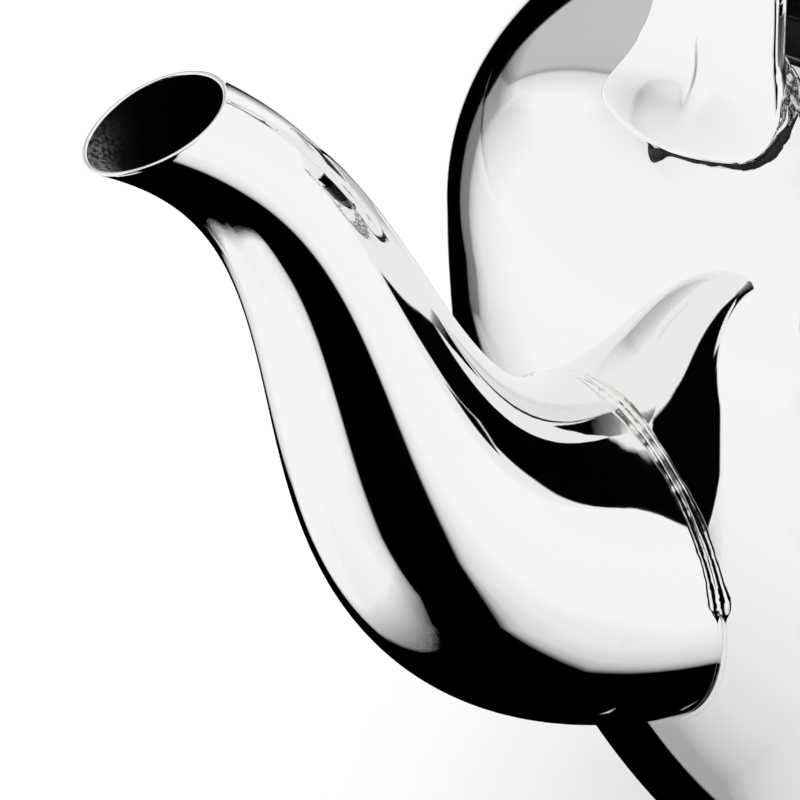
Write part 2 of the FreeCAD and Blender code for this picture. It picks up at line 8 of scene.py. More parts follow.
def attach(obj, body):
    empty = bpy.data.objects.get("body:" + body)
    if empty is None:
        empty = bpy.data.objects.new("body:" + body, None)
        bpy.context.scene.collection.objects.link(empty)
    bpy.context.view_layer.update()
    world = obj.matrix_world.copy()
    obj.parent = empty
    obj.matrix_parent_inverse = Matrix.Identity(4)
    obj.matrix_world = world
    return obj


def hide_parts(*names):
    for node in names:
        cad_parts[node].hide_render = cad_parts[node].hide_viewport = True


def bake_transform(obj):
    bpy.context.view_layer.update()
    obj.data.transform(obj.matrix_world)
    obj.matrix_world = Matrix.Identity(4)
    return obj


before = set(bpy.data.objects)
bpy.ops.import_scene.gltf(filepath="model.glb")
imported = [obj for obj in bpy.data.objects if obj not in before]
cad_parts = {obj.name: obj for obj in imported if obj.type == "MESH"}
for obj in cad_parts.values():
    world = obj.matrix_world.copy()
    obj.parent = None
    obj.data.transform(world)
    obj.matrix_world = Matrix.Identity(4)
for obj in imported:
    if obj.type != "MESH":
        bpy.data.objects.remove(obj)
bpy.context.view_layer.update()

# Body: an egg-shaped shell raised from one sheet of silver and polished to a mirror.
# It is open at the neck and at the base, and has a round seat for the strainer behind the spout.
MM = 0.001
BODY_R = 62.0 * MM
SHOULDER_RISE = 37.7 * MM
BELLY_DROP = 89.2 * MM
SHEET = 1.0 * MM
BASE_R = 31.0 * MM
FOOT_H = 7.5 * MM
NECK_R = 41.8 * MM
HOLE_R = NECK_R - 0.8 * MM
WIDEST_Z = FOOT_H + BELLY_DROP * math.sqrt(1 - (BASE_R / BODY_R) ** 2)
STRAINER_Z = WIDEST_Z - 20.0 * MM
STRAINER_SEAT_R = 13.4 * MM
CLEAN_SILVER = (0.905, 0.905, 0.90)
DULL_SILVER = (0.62, 0.61, 0.59)
TARNISH_ROUGHNESS = 0.25


def put(tree, kind, sockets=None, **settings):
    """A node with its settings and sockets. A socket or another node's first output is linked to a socket,
    and anything else is its value."""
    node = tree.nodes.new(kind)
    for name, value in settings.items():
        setattr(node, name, value)
    for key, value in (sockets or {}).items():
        if isinstance(value, bpy.types.Node):
            value = value.outputs[0]
        if isinstance(value, bpy.types.NodeSocket):
            tree.links.new(value, node.inputs[key])
        else:
            node.inputs[key].default_value = value
    return node


def reckon(tree, operation, *values, **settings):
    """What a math node makes of its values."""
    return put(tree, "ShaderNodeMath", dict(enumerate(values)), operation=operation, **settings).outputs[0]


def graded(tree, value, low, high, to_low=0.0, to_high=1.0):
    """A value with its range from low to high spread from to_low to to_high."""
    return put(tree, "ShaderNodeMapRange", {"Value": value, "From Min": low, "From Max": high,
                                            "To Min": to_low, "To Max": to_high}).outputs["Result"]


def noise(tree, scale, detail, vector=None):
    """Noise by the place on the piece, or by another vector."""
    if vector is None:
        vector = put(tree, "ShaderNodeTexCoord").outputs["Object"]
    return put(tree, "ShaderNodeTexNoise", {"Vector": vector, "Scale": scale, "Detail": detail}).outputs[0]


def tinted(tree, share, none, full):
    """A colour from none to full by its share."""
    ends = [end if isinstance(end, bpy.types.NodeSocket) else (*end, 1.0) for end in (none, full)]
    return put(tree, "ShaderNodeMix", {0: share, 6: ends[0], 7: ends[1]}, data_type="RGBA").outputs[2]


def effect(name, inputs, outputs):
    """An empty shader group with named number inputs and outputs."""
    tree = bpy.data.node_groups.new(name, "ShaderNodeTree")
    for socket, value in inputs:
        kind = "NodeSocketVector" if isinstance(value, tuple) else "NodeSocketFloat"
        tree.interface.new_socket(name=socket, in_out="INPUT", socket_type=kind).default_value = value
    for socket in outputs:
        tree.interface.new_socket(name=socket, in_out="OUTPUT", socket_type="NodeSocketFloat")
    return tree, put(tree, "NodeGroupInput").outputs, put(tree, "NodeGroupOutput").inputs


def finish_of(name):
    """A new material, its tree and its shader."""
    material = bpy.data.materials.new(name)
    material.use_nodes = True
    tree = material.node_tree
    return material, tree, tree.nodes["Principled BSDF"]


def dress(tree, shader, colour, rough, height):
    """Colour, roughness and relief that change over the surface."""
    relief = put(tree, "ShaderNodeBump", {"Strength": 1.0, "Distance": 1.0, "Height": height})
    tree.links.new(colour, shader.inputs["Base Color"])
    tree.links.new(rough, shader.inputs["Roughness"])
    tree.links.new(relief.outputs["Normal"], shader.inputs["Normal"])


# Traces of hand work in metal: faint dents of the planishing hammer, and hairlines of the polishing cloth.
hand_polish, given, made = effect(
    "hand_polish",
    [("Dent Scale", 60.0), ("Dent Depth", 2e-5), ("Hairline Depth", 2e-7), ("Gloss", 0.03), ("Dull", 0.07)],
    ["Roughness", "Height"])
dents = noise(hand_polish, given["Dent Scale"], 1.0)
place = put(hand_polish, "ShaderNodeTexCoord").outputs["Object"]
drawn = put(hand_polish, "ShaderNodeMapping", {"Vector": place, "Scale": (900.0, 900.0, 70.0)})
hairs = noise(hand_polish, 1.0, 2.0, drawn)
dent_height = reckon(hand_polish, "MULTIPLY", dents, given["Dent Depth"])
height = reckon(hand_polish, "MULTIPLY_ADD", hairs, given["Hairline Depth"], dent_height)
smears = noise(hand_polish, 45.0, 4.0)
gloss = graded(hand_polish, smears, 0.35, 0.7, given["Gloss"], given["Dull"])
hand_polish.links.new(gloss, made["Roughness"])
hand_polish.links.new(height, made["Height"])

# Tarnish: cloudy patches broken up by fine specks.
tarnish, given, made = effect(
    "tarnish", [("Spread", 0.6), ("Cloud Scale", 30.0), ("Speck Scale", 1500.0)], ["Mask"])
clouds = graded(tarnish, noise(tarnish, given["Cloud Scale"], 5.0), given["Spread"], 0.8)
specks = noise(tarnish, given["Speck Scale"], 2.0)
tarnish.links.new(reckon(tarnish, "MULTIPLY", clouds, specks), made["Mask"])


def silver(name, bright, dull, dents, hairlines, gloss, spread, metallic=1.0):
    """A silver finish: its clean and its tarnished colour, (scale, depth) of the dents, depth of hairlines,
    roughness where it is (best, least) polished, and the cloud at which tarnish starts."""
    material, tree, shader = finish_of(name)
    shader.inputs["Metallic"].default_value = metallic
    worked = put(tree, "ShaderNodeGroup",
                 {"Dent Scale": dents[0], "Dent Depth": dents[1], "Hairline Depth": hairlines,
                  "Gloss": gloss[0], "Dull": gloss[1]}, node_tree=hand_polish)
    film = put(tree, "ShaderNodeGroup", {"Spread": spread}, node_tree=tarnish).outputs["Mask"]
    rough = reckon(tree, "MULTIPLY_ADD", film, TARNISH_ROUGHNESS, worked.outputs["Roughness"])
    dress(tree, shader, tinted(tree, film, bright, dull), rough, worked.outputs["Height"])
    return material


mirror_silver = silver("mirror_silver", CLEAN_SILVER, DULL_SILVER,
                       dents=(55.0, 2.2e-5), hairlines=1e-7, gloss=(0.02, 0.05), spread=0.68)
inner_silver = silver("inner_silver", (0.55, 0.54, 0.52), (0.16, 0.15, 0.14),
                      dents=(90.0, 6e-5), hairlines=8e-7, gloss=(0.28, 0.45), spread=0.35)


def put_in_scene(name, data, *materials):
    piece = bpy.data.objects.new(name, data)
    bpy.context.scene.collection.objects.link(piece)
    for material in materials:
        data.materials.append(material)
    return piece


def mesh_of(name, shape, crease=35):
    """A finished mesh from a bmesh: smooth, with hard edges past the crease angle."""
    mesh = bpy.data.meshes.new(name)
    shape.to_mesh(mesh)
    shape.free()
    mesh.shade_smooth()
    mesh.set_sharp_from_angle(angle=math.radians(crease))
    return mesh


def bow(z_mid, half_r, half_z, r_from, r_to, count):
    """Points of an elliptical bow between two radii; half_z below zero is the lower side."""
    start, stop = math.acos(r_from / half_r), math.acos(r_to / half_r)
    angles = [start + (stop - start) * i / count for i in range(count + 1)]
    return [(half_r * math.cos(a), z_mid + half_z * math.sin(a)) for a in angles]


def beyond(point, z_mid, half_r, half_z):
    """Above zero outside a turned bow, below zero inside it."""
    return (point.x ** 2 + point.y ** 2) / half_r ** 2 + ((point.z - z_mid) / half_z) ** 2 - 1


def from_body(point, sink=0.0):
    """Above zero outside the body, below zero inside it; sink moves its surface inwards."""
    half_z = SHOULDER_RISE if point.z > WIDEST_Z else BELLY_DROP
    return beyond(point, WIDEST_Z, BODY_R - sink, half_z - sink)


def shoulder_z(r):
    return WIDEST_Z + SHOULDER_RISE * math.sqrt(1 - (r / BODY_R) ** 2)


def turned(name, outline, steps=192, crease=35):
    """A mesh turned about the pot's axis from a closed outline of (radius, height)."""
    shape = bmesh.new()
    rings = []
    for r, z in outline:
        around = [math.tau * k / steps for k in range(steps)] if r > 1e-7 else [0.0]
        rings.append([shape.verts.new((r * math.cos(a), r * math.sin(a), z)) for a in around])
    for low, high in zip(rings, rings[1:] + rings[:1]):
        for k in range(steps if len(low) + len(high) > 2 else 0):
            n = k + 1
            corners = [low[k % len(low)], low[n % len(low)], high[n % len(high)], high[k % len(high)]]
            shape.faces.new(list(dict.fromkeys(corners)))
    bmesh.ops.recalc_face_normals(shape, faces=shape.faces)
    return mesh_of(name, shape, crease)


def as_made(piece):
    """The plain mesh that a piece's modifiers make."""
    return bpy.data.meshes.new_from_object(piece.evaluated_get(bpy.context.evaluated_depsgraph_get()))


def rod(name, radius, length, place, steps=64):
    """A plain rod, used as a cutter; place moves and turns it from upright at the origin."""
    shape = bmesh.new()
    bmesh.ops.create_cone(shape, cap_ends=True, segments=steps, radius1=radius, radius2=radius,
                          depth=length, matrix=place)
    return put_in_scene(name, mesh_of(name, shape))


def rod_x(name, radius, x_from, x_to, z):
    """A rod that lies along X."""
    middle = Matrix.Translation(((x_from + x_to) / 2, 0, z))
    return rod(name, radius, x_to - x_from, middle @ Matrix.Rotation(math.pi / 2, 4, "Y"))


def bored(piece, cutter):
    """Takes the cutter's shape out of the piece; the cutter is thrown away."""
    cut = piece.modifiers.new("cut", "BOOLEAN")
    cut.operation, cut.solver, cut.object = "DIFFERENCE", "EXACT", cutter
    mesh = as_made(piece)
    piece.modifiers.clear()
    piece.data = mesh
    bpy.data.objects.remove(cutter)


inner_r, inner_drop = BODY_R - SHEET, BELLY_DROP - SHEET
base_inner_r = inner_r * math.sqrt(1 - ((WIDEST_Z - FOOT_H) / inner_drop) ** 2)
outside = bow(WIDEST_Z, BODY_R, -BELLY_DROP, BASE_R, BODY_R, 80)
outside += bow(WIDEST_Z, BODY_R, SHOULDER_RISE, BODY_R, HOLE_R, 60)[1:]
inside = bow(WIDEST_Z, inner_r, SHOULDER_RISE - SHEET, HOLE_R, inner_r, 30)
inside += bow(WIDEST_Z, inner_r, -inner_drop, inner_r, base_inner_r, 40)[1:]
body = put_in_scene("body", turned("body", outside + inside), mirror_silver, inner_silver)
for face in body.data.polygons:
    face.material_index = 1 if from_body(face.center, SHEET / 2) < 0 else 0
bored(body, rod_x("seat", STRAINER_SEAT_R, -2 * BODY_R, -10 * MM, STRAINER_Z))
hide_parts("body_shell")
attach(body, "pot")

# Strainer: a round of the same sheet, pierced with small holes and set in its seat.
# It shows only from inside, through the neck.


def refinish(node, material):
    """A new finish for a CAD piece that stays as it is."""
    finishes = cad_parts[node].data.materials
    finishes.clear()
    finishes.append(material)


refinish("strainer", inner_silver)

# Base plate: a plain disc let into the bottom of the shell, left as the saw and the torch leave it.
# Foot ring: a turned and hollow-swept ring soldered under the shell; the pot stands on its flat tread.
FOOT_R = 36.0 * MM
FOOT_TREAD = 2.8 * MM
FOOT_EDGE = 1.4 * MM
FOOT_SEAT = 2.6 * MM
FOOT_LEAN = 0.08
FOOT_DROP = 1.25
refinish("base_plate", inner_silver)


def sweep(r_top, r_low, count):
    """The hollow side of the foot: a quarter-round that leans outwards, from its seat to its edge."""
    lean = r_top * (1 - FOOT_LEAN) + r_low * FOOT_LEAN
    points = []
    for i in range(count + 1):
        t = i / count
        r = r_top * (1 - t) ** 2 + 2 * lean * t * (1 - t) + r_low * t ** 2
        points.append((r, FOOT_H + (FOOT_EDGE - FOOT_H) * (t * FOOT_DROP - (FOOT_DROP - 1) * t ** 2)))
    return points


foot_top = BASE_R + SHEET / 2
soft = 0.25 * MM
foot_outline = sweep(foot_top, FOOT_R - soft, 16)
foot_outline += [(FOOT_R, FOOT_EDGE - soft), (FOOT_R, soft), (FOOT_R - soft, 0), (FOOT_R - FOOT_TREAD, 0)]
foot_outline += sweep(foot_top - FOOT_SEAT, FOOT_R - FOOT_TREAD, 10)[::-1]
foot = put_in_scene("foot", turned("foot", foot_outline, 160, 30), mirror_silver)
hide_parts("foot_ring")
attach(foot, "pot")

# Spout: a long S-shaped tube worked up from sheet, oval at its root and round at its slanted mouth.
# It is fitted to the belly over the strainer; its inside is painted near-black, a painted shade for the dark
# of its hollow.
SPOUT_PATH = [(-16.5, -22.6), (10.6, -24.0), (34.1, -10.7), (21.3, 16.3), (37.6, 31.3), (53.8, 39.3)]
SPOUT_HALF_DEPTH = [21.4, 17.6, 8.1, 5.9, 5.7]
SPOUT_HALF_WIDTH = [17.9, 12.8, 7.7, 6.9, 5.6]
SPOUT_WALL = 0.8
SPOUT_LIP = 0.42
SPOUT_SINK = 0.25 * MM
MOUTH = Vector((-(BODY_R + 50.2 * MM), 0, WIDEST_Z + 37.3 * MM))
MOUTH_FACING = Vector((-math.sin(math.radians(23)), 0, math.cos(math.radians(23))))
LIP_RISE = 0.18 * MM
SPOUT_ROUND, SPOUT_OUTSIDE, SPOUT_INSIDE = 160, 150, 60
LIP_STEPS, LIP_TAPER, LIP_SPECKLE_DEPTH = 8, 4, 3


def bezier(values, t):
    points = list(values)
    while len(points) > 1:
        points = [a * (1 - t) + b * t for a, b in zip(points, points[1:])]
    return points[0]


spout_line = [Vector((-(BODY_R / MM + out), 0, WIDEST_Z / MM + up)) for out, up in SPOUT_PATH]


def spout_point(t, turn, inset=0.0):
    """A point of the spout's wall: t along it from the root, turn around it, inset in mm from its outside."""
    along = (bezier(spout_line, t + 1e-4) - bezier(spout_line, t - 1e-4)).normalized()
    across = Vector((-along.z, 0, along.x))
    deep = (bezier(SPOUT_HALF_DEPTH, t) - inset) * math.cos(turn)
    wide = (bezier(SPOUT_HALF_WIDTH, t) - inset) * math.sin(turn)
    return (bezier(spout_line, t) + across * deep + Vector((0, wide, 0))) * MM


def crossing(low, high, test):
    """Where test turns from below zero to above zero."""
    for _ in range(36):
        middle = (low + high) / 2
        low, high = (low, middle) if test(middle) > 0 else (middle, high)
    return (low + high) / 2


def spout_root(turn, inset, sink):
    """How far along the spout its wall comes out of the body."""
    return crossing(-0.05, 0.45, lambda t: from_body(spout_point(t, turn, inset), sink))


def spout_mouth(turn, inset):
    """How far along the spout its wall is cut off at the mouth."""
    return crossing(0.8, 1.1, lambda t: (spout_point(t, turn, inset) - MOUTH).dot(MOUTH_FACING))


def eased(i, count):
    """From 0 to 1 in count steps, small ones at both ends."""
    return 0.5 - 0.5 * math.cos(math.pi * i / count)


spout_shape = bmesh.new()
lip_speckle = spout_shape.verts.layers.float.new("lip_speckle")
columns = []
for k in range(SPOUT_ROUND):
    turn = math.tau * k / SPOUT_ROUND
    root, mouth = spout_root(turn, 0.0, SPOUT_SINK), spout_mouth(turn, 0.0)
    steps = [root + (mouth - root) * i / SPOUT_OUTSIDE for i in range(SPOUT_OUTSIDE + 1)]
    column = [(spout_point(t, turn), 0) for t in steps]
    root, mouth = spout_root(turn, SPOUT_WALL, SPOUT_SINK), spout_mouth(turn, SPOUT_LIP)
    hollow = []
    for i in range(SPOUT_INSIDE + 1):
        inset = SPOUT_WALL + (SPOUT_LIP - SPOUT_WALL) * max(1 - i / LIP_TAPER, 0.0) ** 2
        hollow.append((spout_point(mouth + (root - mouth) * i / SPOUT_INSIDE, turn, inset), 1))
    lip_out, lip_in = column[-1][0], hollow[0][0]
    for i in range(1, LIP_STEPS):
        rise = LIP_RISE * math.sin(math.pi * i / LIP_STEPS)
        column.append((lip_out.lerp(lip_in, eased(i, LIP_STEPS)) + MOUTH_FACING * rise, 0))
    columns.append([(spout_shape.verts.new(point), side) for point, side in column + hollow])
    for i, (vert, side) in enumerate(columns[-1][len(column):]):
        vert[lip_speckle] = max(math.cos(turn), 0.0) ** 3 * max(1 - i / LIP_SPECKLE_DEPTH, 0.0)
for left, right in zip(columns, columns[1:] + columns[:1]):
    for i in range(len(left)):
        n = (i + 1) % len(left)
        face = spout_shape.faces.new((left[i][0], right[i][0], right[n][0], left[n][0]))
        face.material_index = left[i][1]
bmesh.ops.recalc_face_normals(spout_shape, faces=spout_shape.faces)


def overlay(material, share, colour):
    """Lays a colour over the finish's own, by its share."""
    tree = material.node_tree
    base = tree.nodes["Principled BSDF"].inputs["Base Color"]
    tree.links.new(tinted(tree, share, base.links[0].from_socket, colour), base)


# Inside of the spout: near-black, a painted shade for its hollow. Just inside the mouth, on one side, it is
# speckled light grey.
spout_inside_shade = silver("spout_inside_shade", (0.03, 0.029, 0.028), (0.008, 0.007, 0.006),
                  dents=(200.0, 1.2e-4), hairlines=4e-6, gloss=(0.35, 0.6), spread=0.2)
tree = spout_inside_shade.node_tree
near_lip = put(tree, "ShaderNodeAttribute", attribute_name="lip_speckle")
lip_speckles = graded(tree, noise(tree, 2600.0, 2.0), 0.4, 0.62)
overlay(spout_inside_shade, reckon(tree, "MULTIPLY", near_lip.outputs["Fac"], lip_speckles), (0.75, 0.75, 0.74))
spout = put_in_scene("spout_tube", mesh_of("spout_tube", spout_shape, 50), mirror_silver, spout_inside_shade)
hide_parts("spout")
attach(spout, "pot")

# Solder seam: the line where the spout was soldered to the body, cleaned up but never filed quite flush.
# It stands proud as an uneven bead along the upper part of the joint and thins out below.
SEAM_OUT = 0.42
SEAM_STEPS = 720
SEAM_FADE_Z = WIDEST_Z - 23.5 * MM
SEAM_END_Z = SEAM_FADE_Z + 1.2 * MM
SEAM_THIN, SEAM_FULL, SEAM_END = 0.02, 0.92, 0.8


def ramp(value, start, stop):
    """From 0 at start to 1 at stop."""
    return min(max((value - start) / (stop - start), 0.0), 1.0)


def swell(offset, width):
    """1 in the middle, dying away on both sides."""
    return math.exp(-(offset / width) ** 2)


def marked_mesh(name, points, edges, faces, mark, values):
    """A mesh from plain points, with a number called mark at each of them."""
    mesh = bpy.data.meshes.new(name)
    mesh.from_pydata(points, edges, faces)
    mesh.attributes.new(mark, "FLOAT", "POINT").data.foreach_set("value", values)
    return mesh


def way(name, lines, closed, fullness):
    """Lines of points as a bare mesh for beads to follow, with the bead's fullness at each point."""
    points, edges = [], []
    for line in lines:
        first, count = len(points), len(line)
        points += line
        edges += [(first + i, first + (i + 1) % count) for i in range(count if closed else count - 1)]
    return put_in_scene(name, marked_mesh(name, points, edges, [], "fullness", fullness))


def tree_of(name, inputs):
    """A geometry tree with named inputs after its geometry."""
    tree = bpy.data.node_groups.new(name, "GeometryNodeTree")
    for socket, kind in [("Geometry", "Geometry"), *inputs]:
        tree.interface.new_socket(name=socket, in_out="INPUT", socket_type="NodeSocket" + kind)
    tree.interface.new_socket(name="Geometry", in_out="OUTPUT", socket_type="NodeSocketGeometry")
    return tree, put(tree, "NodeGroupInput").outputs, put(tree, "NodeGroupOutput").inputs


def end_tree(tree, geometry, metal, made):
    """The end of a geometry tree: plain geometry in its metal."""
    whole = put(tree, "GeometryNodeRealizeInstances", {"Geometry": geometry})
    dressed = put(tree, "GeometryNodeSetMaterial", {"Geometry": whole, "Material": metal})
    tree.links.new(dressed.outputs["Geometry"], made["Geometry"])


def grown(name, source, tree, values):
    """The plain piece that a geometry tree makes from a source, which is thrown away."""
    step = source.modifiers.new("grow", "NODES")
    step.node_group = tree
    for item in tree.interface.items_tree:
        if item.in_out == "INPUT" and item.name in values:
            step[item.identifier] = values[item.name]
    bpy.context.view_layer.update()
    mesh = as_made(source)
    mesh.name = name
    bpy.data.objects.remove(source)
    return put_in_scene(name, mesh)


bead_tree, given, made = tree_of("bead", [("Bead Radius", "Float"), ("Lump Scale", "Float"),
                                          ("Lump Share", "Float"), ("Metal", "Material")])
line = put(bead_tree, "GeometryNodeMeshToCurve", {"Mesh": given["Geometry"]})
lumps = noise(bead_tree, given["Lump Scale"], 2.0, put(bead_tree, "GeometryNodeInputPosition"))
lumps = graded(bead_tree, lumps, 0.3, 0.75, 0.55, given["Lump Share"])
weight = put(bead_tree, "GeometryNodeInputNamedAttribute", {"Name": "fullness"}, data_type="FLOAT")
lumpy = reckon(bead_tree, "MULTIPLY", lumps, weight.outputs["Attribute"])
ring = put(bead_tree, "GeometryNodeCurvePrimitiveCircle", {"Resolution": 14, "Radius": given["Bead Radius"]})
tube = put(bead_tree, "GeometryNodeCurveToMesh", {"Curve": line, "Profile Curve": ring, "Scale": lumpy})
smooth = put(bead_tree, "GeometryNodeSetShadeSmooth", {"Geometry": tube})
end_tree(bead_tree, smooth, given["Metal"], made)


def strand(inset, sink):
    """One strand of the joint: where the spout's wall, inset in mm, meets the body, sunk in metres."""
    turns = [math.tau * k / SEAM_STEPS for k in range(SEAM_STEPS)]
    return [spout_point(spout_root(turn, inset, sink), turn, inset) for turn in turns]


def seam_fullness(point):
    """Full on both sides above the place where it fades, with a drop at its end."""
    above = ramp(point.z, SEAM_FADE_Z - 1.5 * MM, SEAM_FADE_Z + 1.5 * MM)
    side = max(ramp(point.y, 1.0 * MM, -3.0 * MM), ramp(point.y, 8.0 * MM, 12.0 * MM))
    full = SEAM_FULL * above * above * (3 - 2 * above) * side
    return SEAM_THIN + full + SEAM_END * swell(point.z - SEAM_END_Z, 1.4 * MM)


strands = [strand(-SEAM_OUT, 0.0), strand(0.0, -SEAM_OUT * MM)]
seam_line = way("seam_line", strands, True, [seam_fullness(point) for point in strands[0] + strands[1]])
solder_silver = silver("solder_silver", (0.93, 0.93, 0.92), (0.30, 0.28, 0.26),
                       dents=(420.0, 5e-5), hairlines=1e-6, gloss=(0.05, 0.16), spread=0.5)
seam = grown("solder_seam", seam_line, bead_tree,
             {"Bead Radius": 0.5 * MM, "Lump Scale": 260.0, "Lump Share": 1.55, "Metal": solder_silver})
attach(seam, "pot")

# Neck collar: a turned ring whose spigot fits the hole in the shell; the lid sits on its top edge.
# Its silver is painted near-black: a painted shade for the shadow and dark reflection under the lid's rim.
NECK_BORE = HOLE_R - 1.2 * MM
NECK_TOP_Z = shoulder_z(NECK_R) + 4.0 * MM
spigot_z = shoulder_z(HOLE_R) - SHEET - 2.5 * MM
soft = 0.3 * MM
neck_outline = [(NECK_BORE, spigot_z), (HOLE_R, spigot_z), (HOLE_R, shoulder_z(HOLE_R)),
                (NECK_R, shoulder_z(NECK_R)), (NECK_R, NECK_TOP_Z - soft), (NECK_R - soft, NECK_TOP_Z),
                (NECK_BORE + soft, NECK_TOP_Z), (NECK_BORE, NECK_TOP_Z - soft)]
neck_shade = silver("neck_shaded_silver", (0.03, 0.029, 0.028), (0.012, 0.011, 0.011), metallic=0.4,
                  dents=(70.0, 1.5e-5), hairlines=2e-7, gloss=(0.22, 0.36), spread=0.5)
neck_shade.node_tree.nodes["Principled BSDF"].inputs["Specular IOR Level"].default_value = 0.25
neck = put_in_scene("neck", turned("neck", neck_outline, 192, 30), neck_shade)
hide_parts("neck_collar")
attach(neck, "pot")

# Ears: two flared straps of thick sheet, one over the spout and one behind the neck.
# Each has a foot bent to the shoulder and soldered on, and a round eye for the bail's pivot pin.
EAR_X = NECK_R + 3.8 * MM
EAR_T = 1.5 * MM
EAR_FOOT_T = 0.9 * MM
EAR_FOOT_REACH = 7.2 * MM
EAR_KNEE_REACH = 3.1 * MM
EAR_SINK = 4.0 * MM
EAR_BEND_H = 19.0 * MM
EAR_FOOT_HALF = 11.5 * MM
EAR_FOOT_CORNER = 2.6 * MM
EAR_EYE_R = 6.5 * MM
EAR_FILLET = 2.2 * MM
EAR_ROUND = 0.5 * MM
EAR_ACROSS, EAR_UP = 64, 100
CREASE_UP = 3.9 * MM
CREASE_Y = 0.2 * MM
CREASE_SLANT = 0.33
CREASE_H = 0.5 * MM
CREASE_W = 1.0 * MM
CREASE_L = 2.8 * MM
PIVOT_Z = NECK_TOP_Z + 20.0 * MM
PIN_R = 2.0 * MM
PIN_PLAY = 0.05 * MM
ear_low = shoulder_z(EAR_X + EAR_FOOT_REACH)
ear_corner_z = ear_low + EAR_FOOT_CORNER
knee_z = shoulder_z(EAR_X + EAR_KNEE_REACH) - EAR_SINK


def through(points, count):
    """Points of a smooth line through the given ones, that starts and ends upright."""
    upright = Vector((0.0, (points[-1] - points[0]).length * 0.3))
    ghost = [points[1] - upright, *points, points[-2] + upright]
    line = []
    for a, b, c, d in zip(ghost, ghost[1:], ghost[2:], ghost[3:]):
        for i in range(count):
            t = i / count
            line.append((b * 2 + (c - a) * t + (a * 2 - b * 5 + c * 4 - d) * t ** 2
                         + (b * 3 - a - c * 3 + d) * t ** 3) * 0.5)
    return line + [points[-1]]


def spread(line, shares):
    """Points of a line at the given shares of its length."""
    lengths = [0.0]
    for a, b in zip(line, line[1:]):
        lengths.append(lengths[-1] + (b - a).length)
    result, j = [], 0
    for share in shares:
        want = lengths[-1] * share
        while j < len(lengths) - 2 and lengths[j + 1] < want:
            j += 1
        result.append(line[j].lerp(line[j + 1], ramp(want, lengths[j], lengths[j + 1])))
    return result


def arc_between(a, middle, b, count):
    """A bend from a to b that passes through middle."""
    bend = middle * 2 - (a + b) / 2
    shares = [i / count for i in range(count + 1)]
    return [a * (1 - t) ** 2 + bend * 2 * t * (1 - t) + b * t ** 2 for t in shares]


def ear_half(side):
    """The ear's edge on one side: its flank from the foot's corner to the eye, and the corner's bend."""
    corner = Vector((side * EAR_FOOT_HALF, ear_corner_z))
    strap = PIVOT_Z - ear_corner_z
    flank = through([corner, Vector((side * EAR_FOOT_HALF * 0.85, ear_corner_z + strap * 0.17)),
                     Vector((side * EAR_EYE_R * 1.32, ear_corner_z + strap * 0.33)),
                     Vector((side * EAR_EYE_R, PIVOT_Z))], 24)
    turn = Vector((side * EAR_FOOT_HALF * 0.965, ear_low + EAR_FOOT_CORNER * 0.58))
    heel = Vector((side * EAR_FOOT_HALF * 0.83, ear_low + EAR_FOOT_CORNER * 0.34))
    return flank, arc_between(corner, turn, heel, 12)


def shoulder_x(y, z, grow):
    """How far out the shoulder, grown by some distance, lies at a place of the ear's outline."""
    level = max(1 - ((z - WIDEST_Z) / (SHOULDER_RISE + grow)) ** 2, 0.0)
    return math.sqrt(max((BODY_R + grow) ** 2 * level - y * y, 0.0))


def rounded(inset, r):
    """How far a rounded edge falls away at some distance in from it."""
    return r * (1 - math.sqrt(1 - (1 - min(inset / r, 1.0)) ** 2))


def ear_faces(y, z, inset):
    """How far out the ear's front and back lie at a place that is inset from its edge.
    Both round off at the edge, and a short crease runs down where the strap bends into the foot."""
    bend = max(1 - (z - knee_z) / EAR_BEND_H, 0.0)
    middle = EAR_X + EAR_KNEE_REACH * bend ** 2
    half = EAR_T / 2 * math.sqrt(1 + (2 * EAR_KNEE_REACH * bend / EAR_BEND_H) ** 2)
    plate, pad = middle + half, shoulder_x(y, z, EAR_FOOT_T)
    near = max(EAR_FILLET - abs(plate - pad), 0.0)
    up = z - ear_corner_z
    crease_y = CREASE_Y + (up - CREASE_UP) * CREASE_SLANT
    crease = CREASE_H * swell(y - crease_y, CREASE_W) * swell(up - CREASE_UP, CREASE_L)
    rounding = rounded(inset, EAR_ROUND * (1 + ramp(up, 0, 8 * MM)))
    front = max(plate, pad) + near * near / (4 * EAR_FILLET) + crease - rounding
    return front, max(middle - half + rounded(inset, EAR_ROUND), shoulder_x(y, z, -0.1 * MM))


flank_r, heel_r = ear_half(1)
flank_l, heel_l = ear_half(-1)
sole = arc_between(heel_l[-1], Vector((0, ear_low)), heel_r[-1], 40)
turns = [math.pi * i / 60 for i in range(61)]
eye = [Vector((EAR_EYE_R * -math.cos(turn), PIVOT_Z + EAR_EYE_R * math.sin(turn))) for turn in turns]
shares_u = [eased(i, EAR_ACROSS) for i in range(EAR_ACROSS + 1)]
shares_v = [eased(j, EAR_UP) for j in range(EAR_UP + 1)]
bottom, top = spread(heel_l + sole[1:] + heel_r[::-1][1:], shares_u), spread(eye, shares_u)
left, right = spread(flank_l, shares_v), spread(flank_r, shares_v)
ear_shape = bmesh.new()
grids = ([], [])
for j, v in enumerate(shares_v):
    rows = ([], [])
    for i, u in enumerate(shares_u):
        spot = bottom[i] * (1 - v) + top[i] * v + left[j] * (1 - u) + right[j] * u
        spot -= (left[0] * (1 - u) + right[0] * u) * (1 - v) + (left[-1] * (1 - u) + right[-1] * u) * v
        width, length = (right[j] - left[j]).length, (top[i] - bottom[i]).length
        inset = min(min(u, 1 - u) * width, min(v, 1 - v) * length)
        for row, depth in zip(rows, ear_faces(spot.x, spot.y, inset)):
            row.append(ear_shape.verts.new((-depth, spot.x, spot.y)))
    for grid, row in zip(grids, rows):
        grid.append(row)
rims = []
